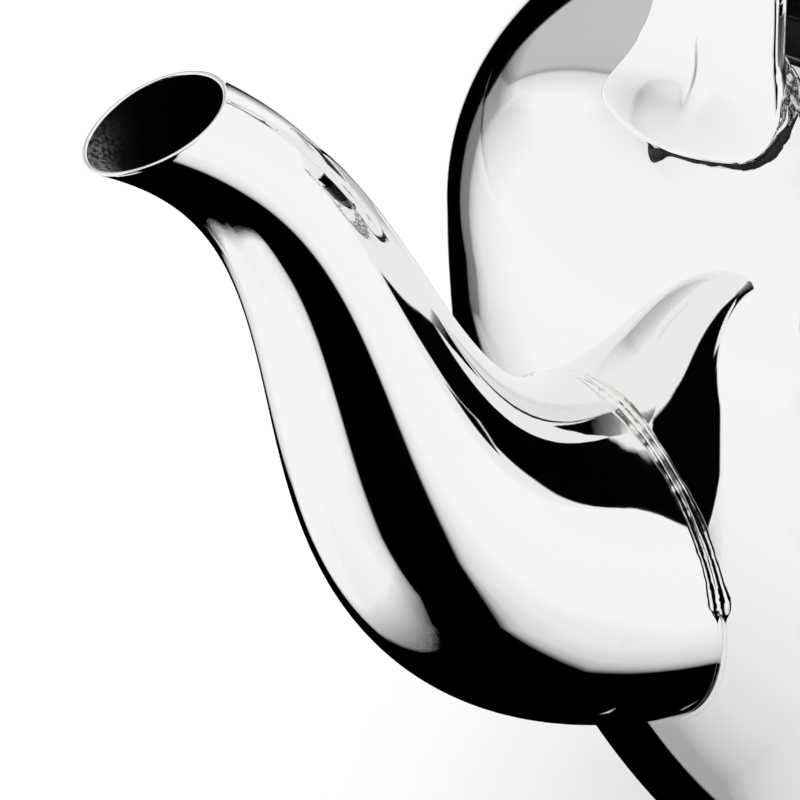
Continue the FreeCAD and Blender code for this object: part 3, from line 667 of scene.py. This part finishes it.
for grid in grids:
    for low, high in zip(grid, grid[1:]):
        for i in range(EAR_ACROSS):
            ear_shape.faces.new((low[i], low[i + 1], high[i + 1], high[i]))
    sides = [row[-1] for row in grid[1:]], [row[0] for row in grid[-2:0:-1]]
    rims.append(grid[0] + sides[0] + grid[-1][-2::-1] + sides[1])
for i in range(len(rims[0])):
    n = (i + 1) % len(rims[0])
    ear_shape.faces.new((rims[0][i], rims[0][n], rims[1][n], rims[1][i]))
bmesh.ops.recalc_face_normals(ear_shape, faces=ear_shape.faces)

# The ears are dented less than the body, and the crease is darkened with a painted shade where the strap
# bends into the foot.
ear_silver = silver("ear_silver", CLEAN_SILVER, DULL_SILVER,
                    dents=(55.0, 1.2e-5), hairlines=1e-7, gloss=(0.02, 0.05), spread=0.68)
tree = ear_silver.node_tree
in_crease = put(tree, "ShaderNodeMapping",
                {"Vector": put(tree, "ShaderNodeTexCoord").outputs["Object"],
                 "Location": (-EAR_X - 4 * MM, CREASE_Y + 0.6 * MM, ear_corner_z + CREASE_UP),
                 "Rotation": (-math.atan(CREASE_SLANT), 0.0, 0.0), "Scale": (8 * MM, 0.42 * MM, 3.4 * MM)},
                vector_type="TEXTURE")
crease_shade = put(tree, "ShaderNodeTexGradient", {"Vector": in_crease}, gradient_type="SPHERICAL")
overlay(ear_silver, crease_shade.outputs["Fac"], (0.12, 0.12, 0.12))
front_ear = put_in_scene("front_ear_plate", mesh_of("front_ear_plate", ear_shape, 40), ear_silver)
bored(front_ear, rod_x("eye", PIN_R + PIN_PLAY, -2 * EAR_X, 0, PIVOT_Z))
front_ear.data.set_sharp_from_angle(angle=math.radians(40))
rear_mesh = front_ear.data.copy()
rear_mesh.transform(Matrix.Rotation(math.pi, 4, "Z"))
rear_ear = put_in_scene("rear_ear_plate", rear_mesh)
for piece, node in ((front_ear, "front_ear"), (rear_ear, "rear_ear")):
    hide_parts(node)
    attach(piece, "pot")

# Solder under the ears: a thin line along each foot, coloured near-black as a painted shadow for the contact
# shadow and dark reflection under the ear's edge.
# It has a lump where the solder ran out and a thick end at one corner of the foot.
SOLDER_LUMP_Y = 0.1 * MM
SOLDER_LUMP_W = 0.9 * MM
SOLDER_LAST_Y = 3.2 * MM
SOLDER_END_Y = -10.2 * MM
SOLDER_THIN, SOLDER_LUMP, SOLDER_END = 0.1, 2.3, 0.8
foot_middle = Vector((0, ear_corner_z + 4 * MM))


def solder_fullness(point):
    """Thin, with a lump, and full from there to the thick end; it dies away up the flank."""
    along = ramp(point.y, -0.4 * MM, -2.0 * MM)
    climb = swell(max(point.z - ear_corner_z, 0.0), 1.4 * MM)
    lump = SOLDER_LUMP * swell(point.y - SOLDER_LUMP_Y, SOLDER_LUMP_W)
    return SOLDER_THIN + lump + (along + SOLDER_END * swell(point.y - SOLDER_END_Y, 1.6 * MM)) * climb


front_edge = []
for spot in [*flank_l[14::-1], *heel_l[1:], *(spot for spot in sole if spot.x < SOLDER_LAST_Y)]:
    out = 0.25 + 0.6 * swell(spot.x - SOLDER_LUMP_Y, SOLDER_LUMP_W)
    spot = spot + (spot - foot_middle).normalized() * out * MM
    front_edge.append(Vector((-shoulder_x(spot.x, spot.y, 0.1 * MM), spot.x, spot.y)))
rear_edge = [Vector((-point.x, -point.y, point.z)) for point in front_edge]
fullness = [solder_fullness(point) for point in front_edge]
ear_line = way("ear_line", [front_edge, rear_edge], False, fullness * 2)
ear_solder_shadow = silver("ear_solder_shadow", (0.035, 0.034, 0.033), (0.006, 0.006, 0.006), metallic=0.3,
                      dents=(900.0, 1e-4), hairlines=4e-6, gloss=(0.5, 0.75), spread=0.25)
ear_seam = grown("ear_solder", ear_line, bead_tree,
                 {"Bead Radius": 0.3 * MM, "Lump Scale": 900.0, "Lump Share": 1.4, "Metal": ear_solder_shadow})
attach(ear_seam, "pot")

# Lid: a raised dome with a flat rim, and under it a bezel ring that keeps it in the neck.
# A small vent is drilled in the dome.
LID_Z = NECK_TOP_Z + 0.1 * MM
LID_R = NECK_R + 0.6 * MM
LID_EDGE = 1.2 * MM
LID_RISE = 13.0 * MM
STUD_R = 1.5 * MM
BEZEL_R = NECK_BORE - 0.4 * MM
VENT_R = 1.2 * MM
VENT_Y = 19 * MM
rim_z = LID_Z + LID_EDGE
soft = 0.3 * MM
lid_outline = [(BEZEL_R - SHEET, LID_Z), (LID_R - soft, LID_Z), (LID_R, LID_Z + soft)]
lid_outline += bow(rim_z, LID_R, LID_RISE, LID_R, STUD_R, 90)
lid_outline += bow(rim_z, LID_R - SHEET, LID_RISE - SHEET, STUD_R, LID_R - SHEET, 30)
lid_outline += [(BEZEL_R - SHEET, rim_z)]
lid = put_in_scene("lid", turned("lid", lid_outline, 192, 30), mirror_silver, inner_silver)
for face in lid.data.polygons:
    inward = beyond(face.center, rim_z, LID_R - SHEET / 2, LID_RISE - SHEET / 2) < 0
    face.material_index = 1 if inward and face.center.z > LID_Z + LID_EDGE / 2 else 0
bored(lid, rod("vent", VENT_R, 20 * MM, Matrix.Translation((0, VENT_Y, rim_z + LID_RISE)), 32))
lid.data.set_sharp_from_angle(angle=math.radians(30))
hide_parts("lid_dome")
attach(lid, "lid")


def smoothed(node, body, material, crease=30):
    """A copy of a CAD piece with its facets joined into smooth faces, in the given finish."""
    shape = bmesh.new()
    shape.from_mesh(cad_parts[node].data)
    bmesh.ops.remove_doubles(shape, verts=shape.verts, dist=0.002 * MM)
    piece = put_in_scene(node + "_piece", mesh_of(node + "_piece", shape, crease), material)
    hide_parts(node)
    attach(piece, body)
    return piece


smoothed("lid_bezel", "lid", mirror_silver)

# Finial: a turned knob of ebonised wood on a small silver collar.
# A steel stud goes through the dome into the knob and a nut draws it down from inside.
wood_grain, given, made = effect("wood_grain", [("Stretch", (60.0, 500.0, 500.0)), ("Pore Depth", 2e-5)],
                                 ["Streak", "Height"])
place = put(wood_grain, "ShaderNodeTexCoord").outputs["Object"]
drawn = put(wood_grain, "ShaderNodeMapping", {"Vector": place, "Scale": given["Stretch"]})
streak = graded(wood_grain, noise(wood_grain, 1.0, 5.0, drawn), 0.35, 0.75)
pores = graded(wood_grain, noise(wood_grain, 3.0, 2.0, drawn), 0.3, 0.45)
wood_grain.links.new(streak, made["Streak"])
wood_grain.links.new(reckon(wood_grain, "MULTIPLY", pores, given["Pore Depth"]), made["Height"])


def ebonised(name, stretch):
    """Black-stained wood, oiled and rubbed, with its grain along one axis."""
    material, tree, shader = finish_of(name)
    grain = put(tree, "ShaderNodeGroup", {"Stretch": stretch}, node_tree=wood_grain).outputs
    shader.inputs["Coat Weight"].default_value = 0.25
    shader.inputs["Coat Roughness"].default_value = 0.2
    colour = tinted(tree, grain["Streak"], (0.010, 0.008, 0.007), (0.045, 0.030, 0.022))
    dress(tree, shader, colour, graded(tree, grain["Streak"], 0.0, 1.0, 0.24, 0.42), grain["Height"])
    return material


steel = silver("turned_steel", (0.50, 0.50, 0.50), (0.25, 0.24, 0.23),
               dents=(300.0, 4e-6), hairlines=2e-6, gloss=(0.22, 0.36), spread=0.6)
smoothed("finial_collar", "lid", mirror_silver)
smoothed("finial", "lid", ebonised("ebonised_upright", (500.0, 500.0, 60.0)))
smoothed("finial_stud", "lid", steel)
smoothed("finial_nut", "lid", steel)

# Bail: two cast silver arms that fork over the ears and turn on riveted pivot pins.
# Each arm ends in a silver ferrule that holds one end of the grip.
for end in ("front", "rear"):
    smoothed(end + "_bail_arm", "bail", mirror_silver, crease=40)
    smoothed(end + "_pivot_pin", "bail", mirror_silver)
    smoothed(end + "_ferrule", "bail", mirror_silver)

# Grip: a barrel of the same wood on a steel rod, between two fibre washers that keep the heat out of it.
# Cross pins through the ferrules hold the rod.
fibre, tree, shader = finish_of("pressed_fibre")
flakes = noise(tree, 1400.0, 4.0)
dress(tree, shader, tinted(tree, flakes, (0.055, 0.035, 0.028), (0.14, 0.085, 0.06)),
      graded(tree, flakes, 0.0, 1.0, 0.5, 0.75), reckon(tree, "MULTIPLY", flakes, 6e-5))
for end in ("front", "rear"):
    smoothed(end + "_washer", "bail", fibre)
smoothed("grip", "bail", ebonised("ebonised_level", (60.0, 500.0, 500.0)))
smoothed("grip_rod", "bail", steel)
smoothed("grip_pins", "bail", mirror_silver)

# Chain: small oval links of round silver wire, each turned a quarter against the next.
# It runs from a wire eye behind the front ear, in a loop on the shoulder, to a wire eye on the lid's rim.
LINK_L = 3.0 * MM
LINK_W = 2.0 * MM
LINK_WIRE = 0.55 * MM
LINKS = 36
EYE_STANDOFF = 0.8 * MM
CHAIN_AZIMUTHS = [11.5, 15, 21, 28, 36, 44, 51, 57, 61]
CHAIN_OUT = [3.0, 5.0, 7.5, 9.2, 9.8, 9.2, 7.6, 5.2, 3.4]
CHAIN_LIFT = 1.2 * MM
EAR_EYE_UP = 1.7 * MM
LID_EYE_IN = 2.1 * MM
LID_EYE_AZIMUTH = 66.0


def around(azimuth, r, z):
    angle = math.radians(azimuth)
    return Vector((-r * math.cos(angle), -r * math.sin(angle), z))


def off_bow(azimuth, r, z_mid, half_r, half_z, lift):
    """A place at some distance off a turned bow, straight out from it."""
    z = z_mid + half_z * math.sqrt(1 - (r / half_r) ** 2)
    out = Vector((r / half_r ** 2, (z - z_mid) / half_z ** 2)).normalized() * lift
    return around(azimuth, r + out.x, z + out.y)


ear_eye_z = shoulder_z(NECK_R) + EAR_EYE_UP
ear_bend = 1 - (ear_eye_z - knee_z) / EAR_BEND_H
ear_eye_x = -EAR_X - EAR_KNEE_REACH * ear_bend ** 2 + EAR_T / 2 + EYE_STANDOFF
ear_eye = Vector((ear_eye_x, -EAR_EYE_R, ear_eye_z))
lid_eye = off_bow(LID_EYE_AZIMUTH, LID_R - LID_EYE_IN, rim_z, LID_R, LID_RISE, EYE_STANDOFF)
clear_r = LID_R + LINK_W
chain_stops = [ear_eye]
for azimuth, out in zip(CHAIN_AZIMUTHS, CHAIN_OUT):
    chain_stops.append(off_bow(azimuth, NECK_R + out * MM, WIDEST_Z, BODY_R, SHOULDER_RISE, CHAIN_LIFT))
chain_stops += [around(LID_EYE_AZIMUTH - 3, clear_r, NECK_TOP_Z - 1.0 * MM),
                around(LID_EYE_AZIMUTH - 1.5, clear_r, LID_Z + 2 * LID_EDGE), lid_eye]
chain_curve = bpy.data.curves.new("chain_route", "CURVE")
chain_curve.dimensions = "3D"
spline = chain_curve.splines.new("POLY")
spline.points.add(len(chain_stops) - 1)
for point, stop in zip(spline.points, chain_stops):
    point.co = (*stop, 1.0)

tree, given, made = tree_of("chain", [("Links", "Int"), ("Link Length", "Float"), ("Link Width", "Float"),
                                     ("Wire", "Float"), ("Lead", "Float"), ("Metal", "Material")])
route = put(tree, "GeometryNodeCurveSplineType", {"Curve": given["Geometry"]}, spline_type="CATMULL_ROM")
fine = put(tree, "GeometryNodeSetSplineResolution", {"Geometry": route, "Resolution": 24})
full = put(tree, "GeometryNodeCurveLength", {"Curve": fine})
trimmed = put(tree, "GeometryNodeTrimCurve", {"Curve": fine}, mode="LENGTH")
ends = {"Start": given["Lead"], "End": reckon(tree, "SUBTRACT", full, given["Lead"])}
for socket in trimmed.inputs:
    if socket.enabled and socket.name in ends:
        tree.links.new(ends[socket.name], socket)
spots = put(tree, "GeometryNodeCurveToPoints", {"Curve": trimmed, "Count": given["Links"]}, mode="COUNT")
along = put(tree, "FunctionNodeAlignRotationToVector", {"Vector": spots.outputs["Tangent"]}, axis="X")
level = put(tree, "FunctionNodeAlignRotationToVector", {"Rotation": along, "Vector": spots.outputs["Normal"]},
            axis="Z", pivot_axis="X")
odd = reckon(tree, "MODULO", put(tree, "GeometryNodeInputIndex"), 2.0)
quarter = reckon(tree, "MULTIPLY", odd, math.pi / 2)
roll = put(tree, "FunctionNodeAxisAngleToRotation", {"Axis": (1.0, 0.0, 0.0), "Angle": quarter})
turned_link = put(tree, "FunctionNodeRotateRotation", {"Rotation": level, "Rotate By": roll},
                  rotation_space="LOCAL")
mid_l = reckon(tree, "SUBTRACT", given["Link Length"], given["Wire"])
mid_w = reckon(tree, "SUBTRACT", given["Link Width"], given["Wire"])
bend_r = reckon(tree, "MULTIPLY", mid_w, 0.499)
wire_r = reckon(tree, "MULTIPLY", given["Wire"], 0.5)
oval = put(tree, "GeometryNodeCurvePrimitiveQuadrilateral", {"Width": mid_l, "Height": mid_w},
           mode="RECTANGLE")
bent = put(tree, "GeometryNodeFilletCurve",
           {"Curve": oval, "Count": 6, "Radius": bend_r, "Limit Radius": True}, mode="POLY")
section = put(tree, "GeometryNodeCurvePrimitiveCircle", {"Resolution": 12, "Radius": wire_r})
one_link = put(tree, "GeometryNodeCurveToMesh", {"Curve": bent, "Profile Curve": section})
smooth = put(tree, "GeometryNodeSetShadeSmooth", {"Geometry": one_link})
laid = put(tree, "GeometryNodeInstanceOnPoints",
           {"Points": spots, "Instance": smooth, "Rotation": turned_link})
end_tree(tree, laid, given["Metal"], made)
chain_silver = silver("chain_silver", (0.88, 0.88, 0.87), (0.06, 0.055, 0.05),
                      dents=(900.0, 1e-5), hairlines=1e-6, gloss=(0.08, 0.2), spread=0.42)
chain = grown("chain", put_in_scene("chain_route", chain_curve), tree,
              {"Links": LINKS, "Link Length": LINK_L, "Link Width": LINK_W, "Wire": LINK_WIRE,
               "Lead": (LINK_L - LINK_WIRE) / 2, "Metal": chain_silver})
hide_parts("lid_chain")
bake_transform(chain)
smoothed("ear_eyelet", "pot", chain_silver, crease=40)
smoothed("lid_eyelet", "lid", chain_silver, crease=40)

# Studio: a pale floor under an even white surround, with dark cards that the silver mirrors.
# The cards lie and stand round the pot, and only reflections show them.
FLOOR_HALF = 6.0
FLOOR_IN_MIRRORS = 0.29
FLOOR_TO_CAMERA = 0.12


def rays_seen(tree):
    """The rays that show a thing to the camera, in mirrors or in glass, and those to the camera alone."""
    rays = put(tree, "ShaderNodeLightPath").outputs
    seen = reckon(tree, "MAXIMUM", rays["Is Camera Ray"], rays["Is Glossy Ray"])
    return reckon(tree, "MAXIMUM", seen, rays["Is Transmission Ray"]), rays["Is Camera Ray"]


pale_floor, tree, shader = finish_of("pale_floor")
tree.nodes.remove(shader)
matt = put(tree, "ShaderNodeBsdfDiffuse",
           {"Color": tinted(tree, noise(tree, 700.0, 2.0), (0.72, 0.72, 0.72), (0.76, 0.76, 0.76))})
seen, to_camera = rays_seen(tree)
shown = reckon(tree, "MULTIPLY", to_camera, FLOOR_TO_CAMERA)
lift = reckon(tree, "MULTIPLY_ADD", seen, FLOOR_IN_MIRRORS, shown)
glow = put(tree, "ShaderNodeEmission", {"Color": (1.0, 1.0, 1.0, 1.0), "Strength": lift})
both = put(tree, "ShaderNodeAddShader", {0: matt, 1: glow})
tree.links.new(both.outputs[0], tree.nodes["Material Output"].inputs["Surface"])
floor_shape = bmesh.new()
bmesh.ops.create_grid(floor_shape, x_segments=2, y_segments=2, size=FLOOR_HALF)
floor = put_in_scene("floor", mesh_of("floor", floor_shape), pale_floor)

black_card, tree, shader = finish_of("black_card")
tree.nodes.remove(shader)
hidden = put(tree, "ShaderNodeNewGeometry").outputs["Backfacing"]
edge = put(tree, "ShaderNodeAttribute", attribute_name="dark").outputs["Fac"]
clear = put(tree, "ShaderNodeBsdfTransparent")
black = put(tree, "ShaderNodeBsdfDiffuse", {"Color": (0.0, 0.0, 0.0, 1.0)})
cover = reckon(tree, "SUBTRACT", edge, hidden, use_clamp=True)
faded = put(tree, "ShaderNodeMixShader", {0: cover, 1: clear, 2: black})
tree.links.new(faded.outputs[0], tree.nodes["Material Output"].inputs["Surface"])


def card(name, points, faces, darkness):
    """A dark card that only reflections show, and only on its front; darkness fades its edges."""
    places = [Vector(point) * MM for point in points]
    piece = put_in_scene(name, marked_mesh(name, places, [], faces, "dark", darkness), black_card)
    piece.visible_camera = piece.visible_diffuse = piece.visible_shadow = False


def laid_card(name, corners, fades, z, core=1.0):
    """A card laid flat, its corners (x, y, softness) anticlockwise, as dark as core.
    Fades gives (distance outside, share of that darkness)."""
    spots = [Vector(corner[:2]) for corner in corners]
    count = len(spots)
    points, darkness = [(spot.x, spot.y, z) for spot in spots], [core] * count
    faces = [list(range(count))]
    for ring, (distance, dark) in enumerate(fades):
        first = ring * count
        for i, spot in enumerate(spots):
            n = (i + 1) % count
            before = (spot - spots[i - 1]).normalized()
            after = (spots[n] - spot).normalized()
            out = Vector((before.y + after.y, -before.x - after.x)).normalized()
            out *= distance * corners[i][2]
            points.append((spot.x + out.x, spot.y + out.y, z))
            darkness.append(dark * core)
            faces.append([first + i, first + count + i, first + count + n, first + n])
    card(name, points, faces, darkness)


# A dark gap between two white sheets on the table, from the camera's side to the back.
floor_gap = [(-60, -900, 1), (-82, -195, 0.8), (-87, -110, 0.9), (-80, -62, 1.2), (-58, -39, 1.2),
             (-28, -39, 0.6), (10, -10, 0.3), (25, 60, 0.3), (30, 170, 0.5), (60, 240, 0.5), (160, 420, 1),
             (420, 900, 1), (150, 900, 1), (75, 620, 0.5), (45, 505, 0.5), (16, 402, 0.5), (-9, 298, 0.5),
             (-24, 232, 0.5), (-33, 182, 0.6), (-60, 145, 1.2), (-91, 108, 0.8), (-91, 84, 0.3),
             (-90, 58, 0.2), (-90, 38, 0.1), (-90, 19, 0.1), (-74, 19, 0.02), (-60, 33, 0.02),
             (-51, 11, 0.02), (-46, 0, 0.02), (-50, -24, 0.02), (-104, -27, 0.2), (-113, -41, 0.3),
             (-140, -50, 0.7), (-172, -69, 0.5), (-189, -77, 0.2), (-193, -40, 0.1), (-300, -52, 0.3),
             (-600, -90, 0.5), (-900, -150, 0.6), (-900, -580, 1)]
gap_fades = [(4, 0.5), (10, 0.24), (22, 0.1), (50, 0.0)]
laid_card("dark_gap", floor_gap, gap_fades, 0.6)

# Its grey borders, at the back and under the belly.
laid_card("grey_gap", [(-33, 178, 0.3), (-9, 298, 0.3), (75, 620, 0.5), (230, 1120, 1), (60, 1120, 4),
                       (-12, 605, 3.5), (-40, 365, 2), (-51, 260, 1.3), (-52, 178, 1)],
          [(5, 0.6), (14, 0.38), (25, 0.22), (50, 0.08), (90, 0.0)], 0.5, 0.78)
laid_card("soft_gap", [(-50, 4, 0.4), (-50, 12, 0.2), (-57, 31, 0.2), (-64, 21, 2.4), (-57, 8, 2.0)],
          gap_fades, 0.5, 0.5)

# Beside the belly the gap is filled with small leaning slats, dark to the spout above and open to the belly.
# Their lean grows with y up to a bend, and is even nearest to the belly.
SLAT_GAP = 0.2
SLAT_CUT = 1.5
SLAT_X = (-133, -48)
SLAT_Y = (-50, 90)
SLAT_LEAN, SLAT_NEAR_LEAN, SLAT_MOST_LEAN = 0.385, 0.377, 0.6
SLAT_LEAN_RATE = 0.0052
SLAT_BEND_Y = 14.0
SLAT_H, SLAT_TALL = 0.86, 0.54
slat_run = Vector((0.596, 0.803, 0.0))
slat_step = Vector((-0.803, 0.596, 0.0))


def slat_dark(x, y):
    """How dark the slats are at a place."""
    dark = ramp(x, -132, -126) * max(ramp(y, 34, 32), ramp(x, -83, -86))
    dark *= max(ramp(y, -29, -27), ramp(x, -102, -105))
    return dark * (1 - 0.5 * ramp(x, -120, -126) * ramp(y, 2, 12))


def slat_lean(x, y):
    """How much the slats lean at a place."""
    rate = 0.003 * ramp(x, -118, -110) + 0.0014 * ramp(x, -109, -103) - 0.002
    lean = SLAT_LEAN + SLAT_LEAN_RATE * min(y, SLAT_BEND_Y) + rate * max(y - SLAT_BEND_Y, 0.0)
    lean = min(lean, SLAT_MOST_LEAN)
    return lean + (SLAT_NEAR_LEAN - lean) * ramp(x, -89, -84) * ramp(y, 34, 30)


points, faces, darkness = [], [], []
for i in range(-350, 391):
    low = Vector((-89, 12, 0.8)) + slat_step * (SLAT_GAP * i)
    ends = sorted((x - low.x) / slat_run.x for x in SLAT_X)
    sides = sorted((y - low.y) / slat_run.y for y in SLAT_Y)
    start, stop = max(ends[0], sides[0]), min(ends[1], sides[1])
    cuts = math.ceil((stop - start) / SLAT_CUT)
    for n in range(cuts + 1 if cuts > 0 else 0):
        spot = low + slat_run * (start + (stop - start) * n / cuts)
        tall = SLAT_H + SLAT_TALL * ramp(spot.x, -95.5, -91.5) * ramp(spot.y, 34, 30)
        points += [spot, spot + (Vector((0, 0, 1)) - slat_step * slat_lean(*spot.xy)).normalized() * tall]
        darkness += [slat_dark(*spot.xy)] * 2
        if n and darkness[-1] + darkness[-3] > 0:
            k = len(points) - 4
            faces.append([k + 2, k, k + 1, k + 3])
card("dark_slats", points, faces, darkness)


def row_card(name, points, darkness, width):
    """A card made of rows of points, width to a row."""
    faces = [[k, k + 1, k + width + 1, k + width] for k in range(len(points) - width) if (k + 1) % width]
    card(name, points, faces, darkness)


def screen(name, panels, edges, middle, distance):
    """A screen standing round a place, in panels of (azimuth, lowest, highest, share) in degrees from there.
    Edges gives (0 from the lowest or 1 from the highest, degrees above it, darkness), upwards."""
    points, darkness = [], []
    for azimuth, *limits, share in panels:
        a = math.radians(azimuth)
        for which, shift, dark in edges:
            rise = distance * math.tan(math.radians(limits[which] + shift))
            points.append(Vector(middle) + Vector((distance * math.cos(a), distance * math.sin(a), rise)))
            darkness.append(dark * share)
    row_card(name, points, darkness, len(edges))


# A dark screen at the back, a grey one above it, and a dark screen behind the camera.
back_middle, front_middle = (-40, 48, 117), (-75, -30, 85)
firm = [(0, -2, 0.0), (0, 0, 1.0), (1, 0, 1.0), (1, 2, 0.0)]
screen("dark_back", [(22, -12, 17, 0), (40, -12, 17, 1), (60, -12, 14, 1), (68, -12, 12, 1),
                     (73, -12, 8.5, 1), (75, -12, 4, 1), (76.5, -12, 0, 1), (78, -12, -2.5, 1),
                     (79.5, -12, -6, 1)],
       firm, back_middle, 900)
screen("grey_back", [(50, -8, 52, 1), (74, -4, 52, 1), (79, -2, 52, 1), (84, 2, 52, 1), (88.5, 13, 52, 1),
                     (92, 21, 52, 1), (94.5, 26, 52, 1), (98, 33, 53, 1), (102, 37, 54, 1),
                     (107, 36, 54, 0.75), (113, 35, 54, 0.4), (121, 35, 54, 0.2), (140, 36, 54, 0)],
       [(0, -12, 0.0), (0, -2, 0.22), (0, -0.6, 0.3), (0, 0.4, 0.62), (0, 3, 0.45), (1, 0, 0.36),
        (1, 10, 0.2), (1, 22, 0.0)], back_middle, 950)
screen("grey_edge", [(70, -14, 1, 1), (86.5, -14, 1, 1), (88.5, -14, 2, 0.6), (91, -14, 6, 0.45),
                     (97, -14, 8, 0.2), (106, -14, 8, 0)],
       [(0, 0, 0.62), (1, -2, 0.6), (1, 4, 0.0)], back_middle, 940)
screen("dark_front", [(-170, -8, 4, 0), (-167, -8, 4, 1), (-151, -8, 4, 1), (-149.5, -8, 38, 1),
                      (-140, -8, 38.5, 1), (-133, -8, 38, 1), (-125, -8, 37.5, 1), (-112, -8, 33, 1),
                      (-100, -6, 28, 1), (-92, 1, 24.5, 1), (-80, 5, 19.5, 1), (-72, 9, 15, 1),
                      (-69, 12, 13, 1)],
       firm, front_middle, 900)

# A slanting card beyond the mouth, in rows of (height, left, right, darkness), which shades the spout's root.
SLANT_X = -200
SLANT_FADE = 2
slant_rows = [(124, -32, -31, 0.0), (130, -34, -29, 1.0), (140, -41, -26, 1.0), (150, -45.5, -24, 1.0),
              (160, -52, -22, 1.0), (170, -62, -20, 1.0), (180, -67, -16.5, 1.0), (190, -73, -13, 0.94),
              (200, -79, -10, 0.87), (212, -90, -10, 0.8), (226, -96, -16, 0.62), (238, -98, -20, 0.0)]
points, darkness = [], []
for z, left, right, dark in slant_rows:
    points += [(SLANT_X, y, z) for y in (left - SLANT_FADE, left, right, right + SLANT_FADE)]
    darkness += [0.0, dark, dark, 0.0]
row_card("slanting_card", points, darkness, 4)

# A dark card round the front of the foot, which the underside of the spout mirrors: a painted shade that
# stands for the shadowed foot.
foot_shade_rings = [(33.0, 7.3), (34.6, 4.6), (37.0, 2.0), (37.4, 0.2)]
points = []
for azimuth in range(130, 231, 5):
    a = math.radians(azimuth)
    points += [(r * math.cos(a), r * math.sin(a), z) for r, z in foot_shade_rings]
row_card("foot_shade_card", points, [1.0] * len(points), len(foot_shade_rings))

# The white surround, which lights the pot less than it shows, and one soft lamp from above.
world = bpy.data.worlds.new("surround")
bpy.context.scene.world = world
world.use_nodes = True
tree = world.node_tree
sky = tree.nodes["Background"]
sky.inputs["Color"].default_value = (1.0, 1.0, 1.0, 1.0)
tree.links.new(graded(tree, rays_seen(tree)[0], 0.0, 1.0, 0.6, 1.0), sky.inputs["Strength"])
lamp = bpy.data.lights.new("soft_lamp", "SUN")
lamp.energy, lamp.angle = 1.25, math.radians(70)
key = put_in_scene("soft_lamp", lamp)
key.rotation_euler = Vector((0.35, 0.25, -1.2)).to_track_quat("-Z", "Y").to_euler()
key.visible_glossy = False

# Camera: a long lens at the photo's viewpoint, level with the lid and turned down to the spout.
# Its place and angle were worked out from the round body, the mouth and the ear in the photo.
IMAGE_SIDE = 800
FOCAL_LENGTH = 3890
SENSOR = 36.0
CAMERA_PLACE = Vector((-0.2881, -0.2575, 0.16713 + WIDEST_Z))
lens = bpy.data.cameras.new("camera")
lens.sensor_width = SENSOR
lens.lens = SENSOR * FOCAL_LENGTH / IMAGE_SIDE
camera = put_in_scene("camera", lens)
ahead = Vector((0.5529, 0.7016, -0.4496)).normalized()
rightwards = Vector((0.7854, -0.619, 0.0)).normalized()
turn = Matrix((rightwards, rightwards.cross(ahead), -ahead)).transposed()
camera.matrix_world = Matrix.Translation(CAMERA_PLACE) @ turn.to_4x4()
bpy.context.scene.camera = camera
bpy.context.scene.view_settings.view_transform = "Standard"
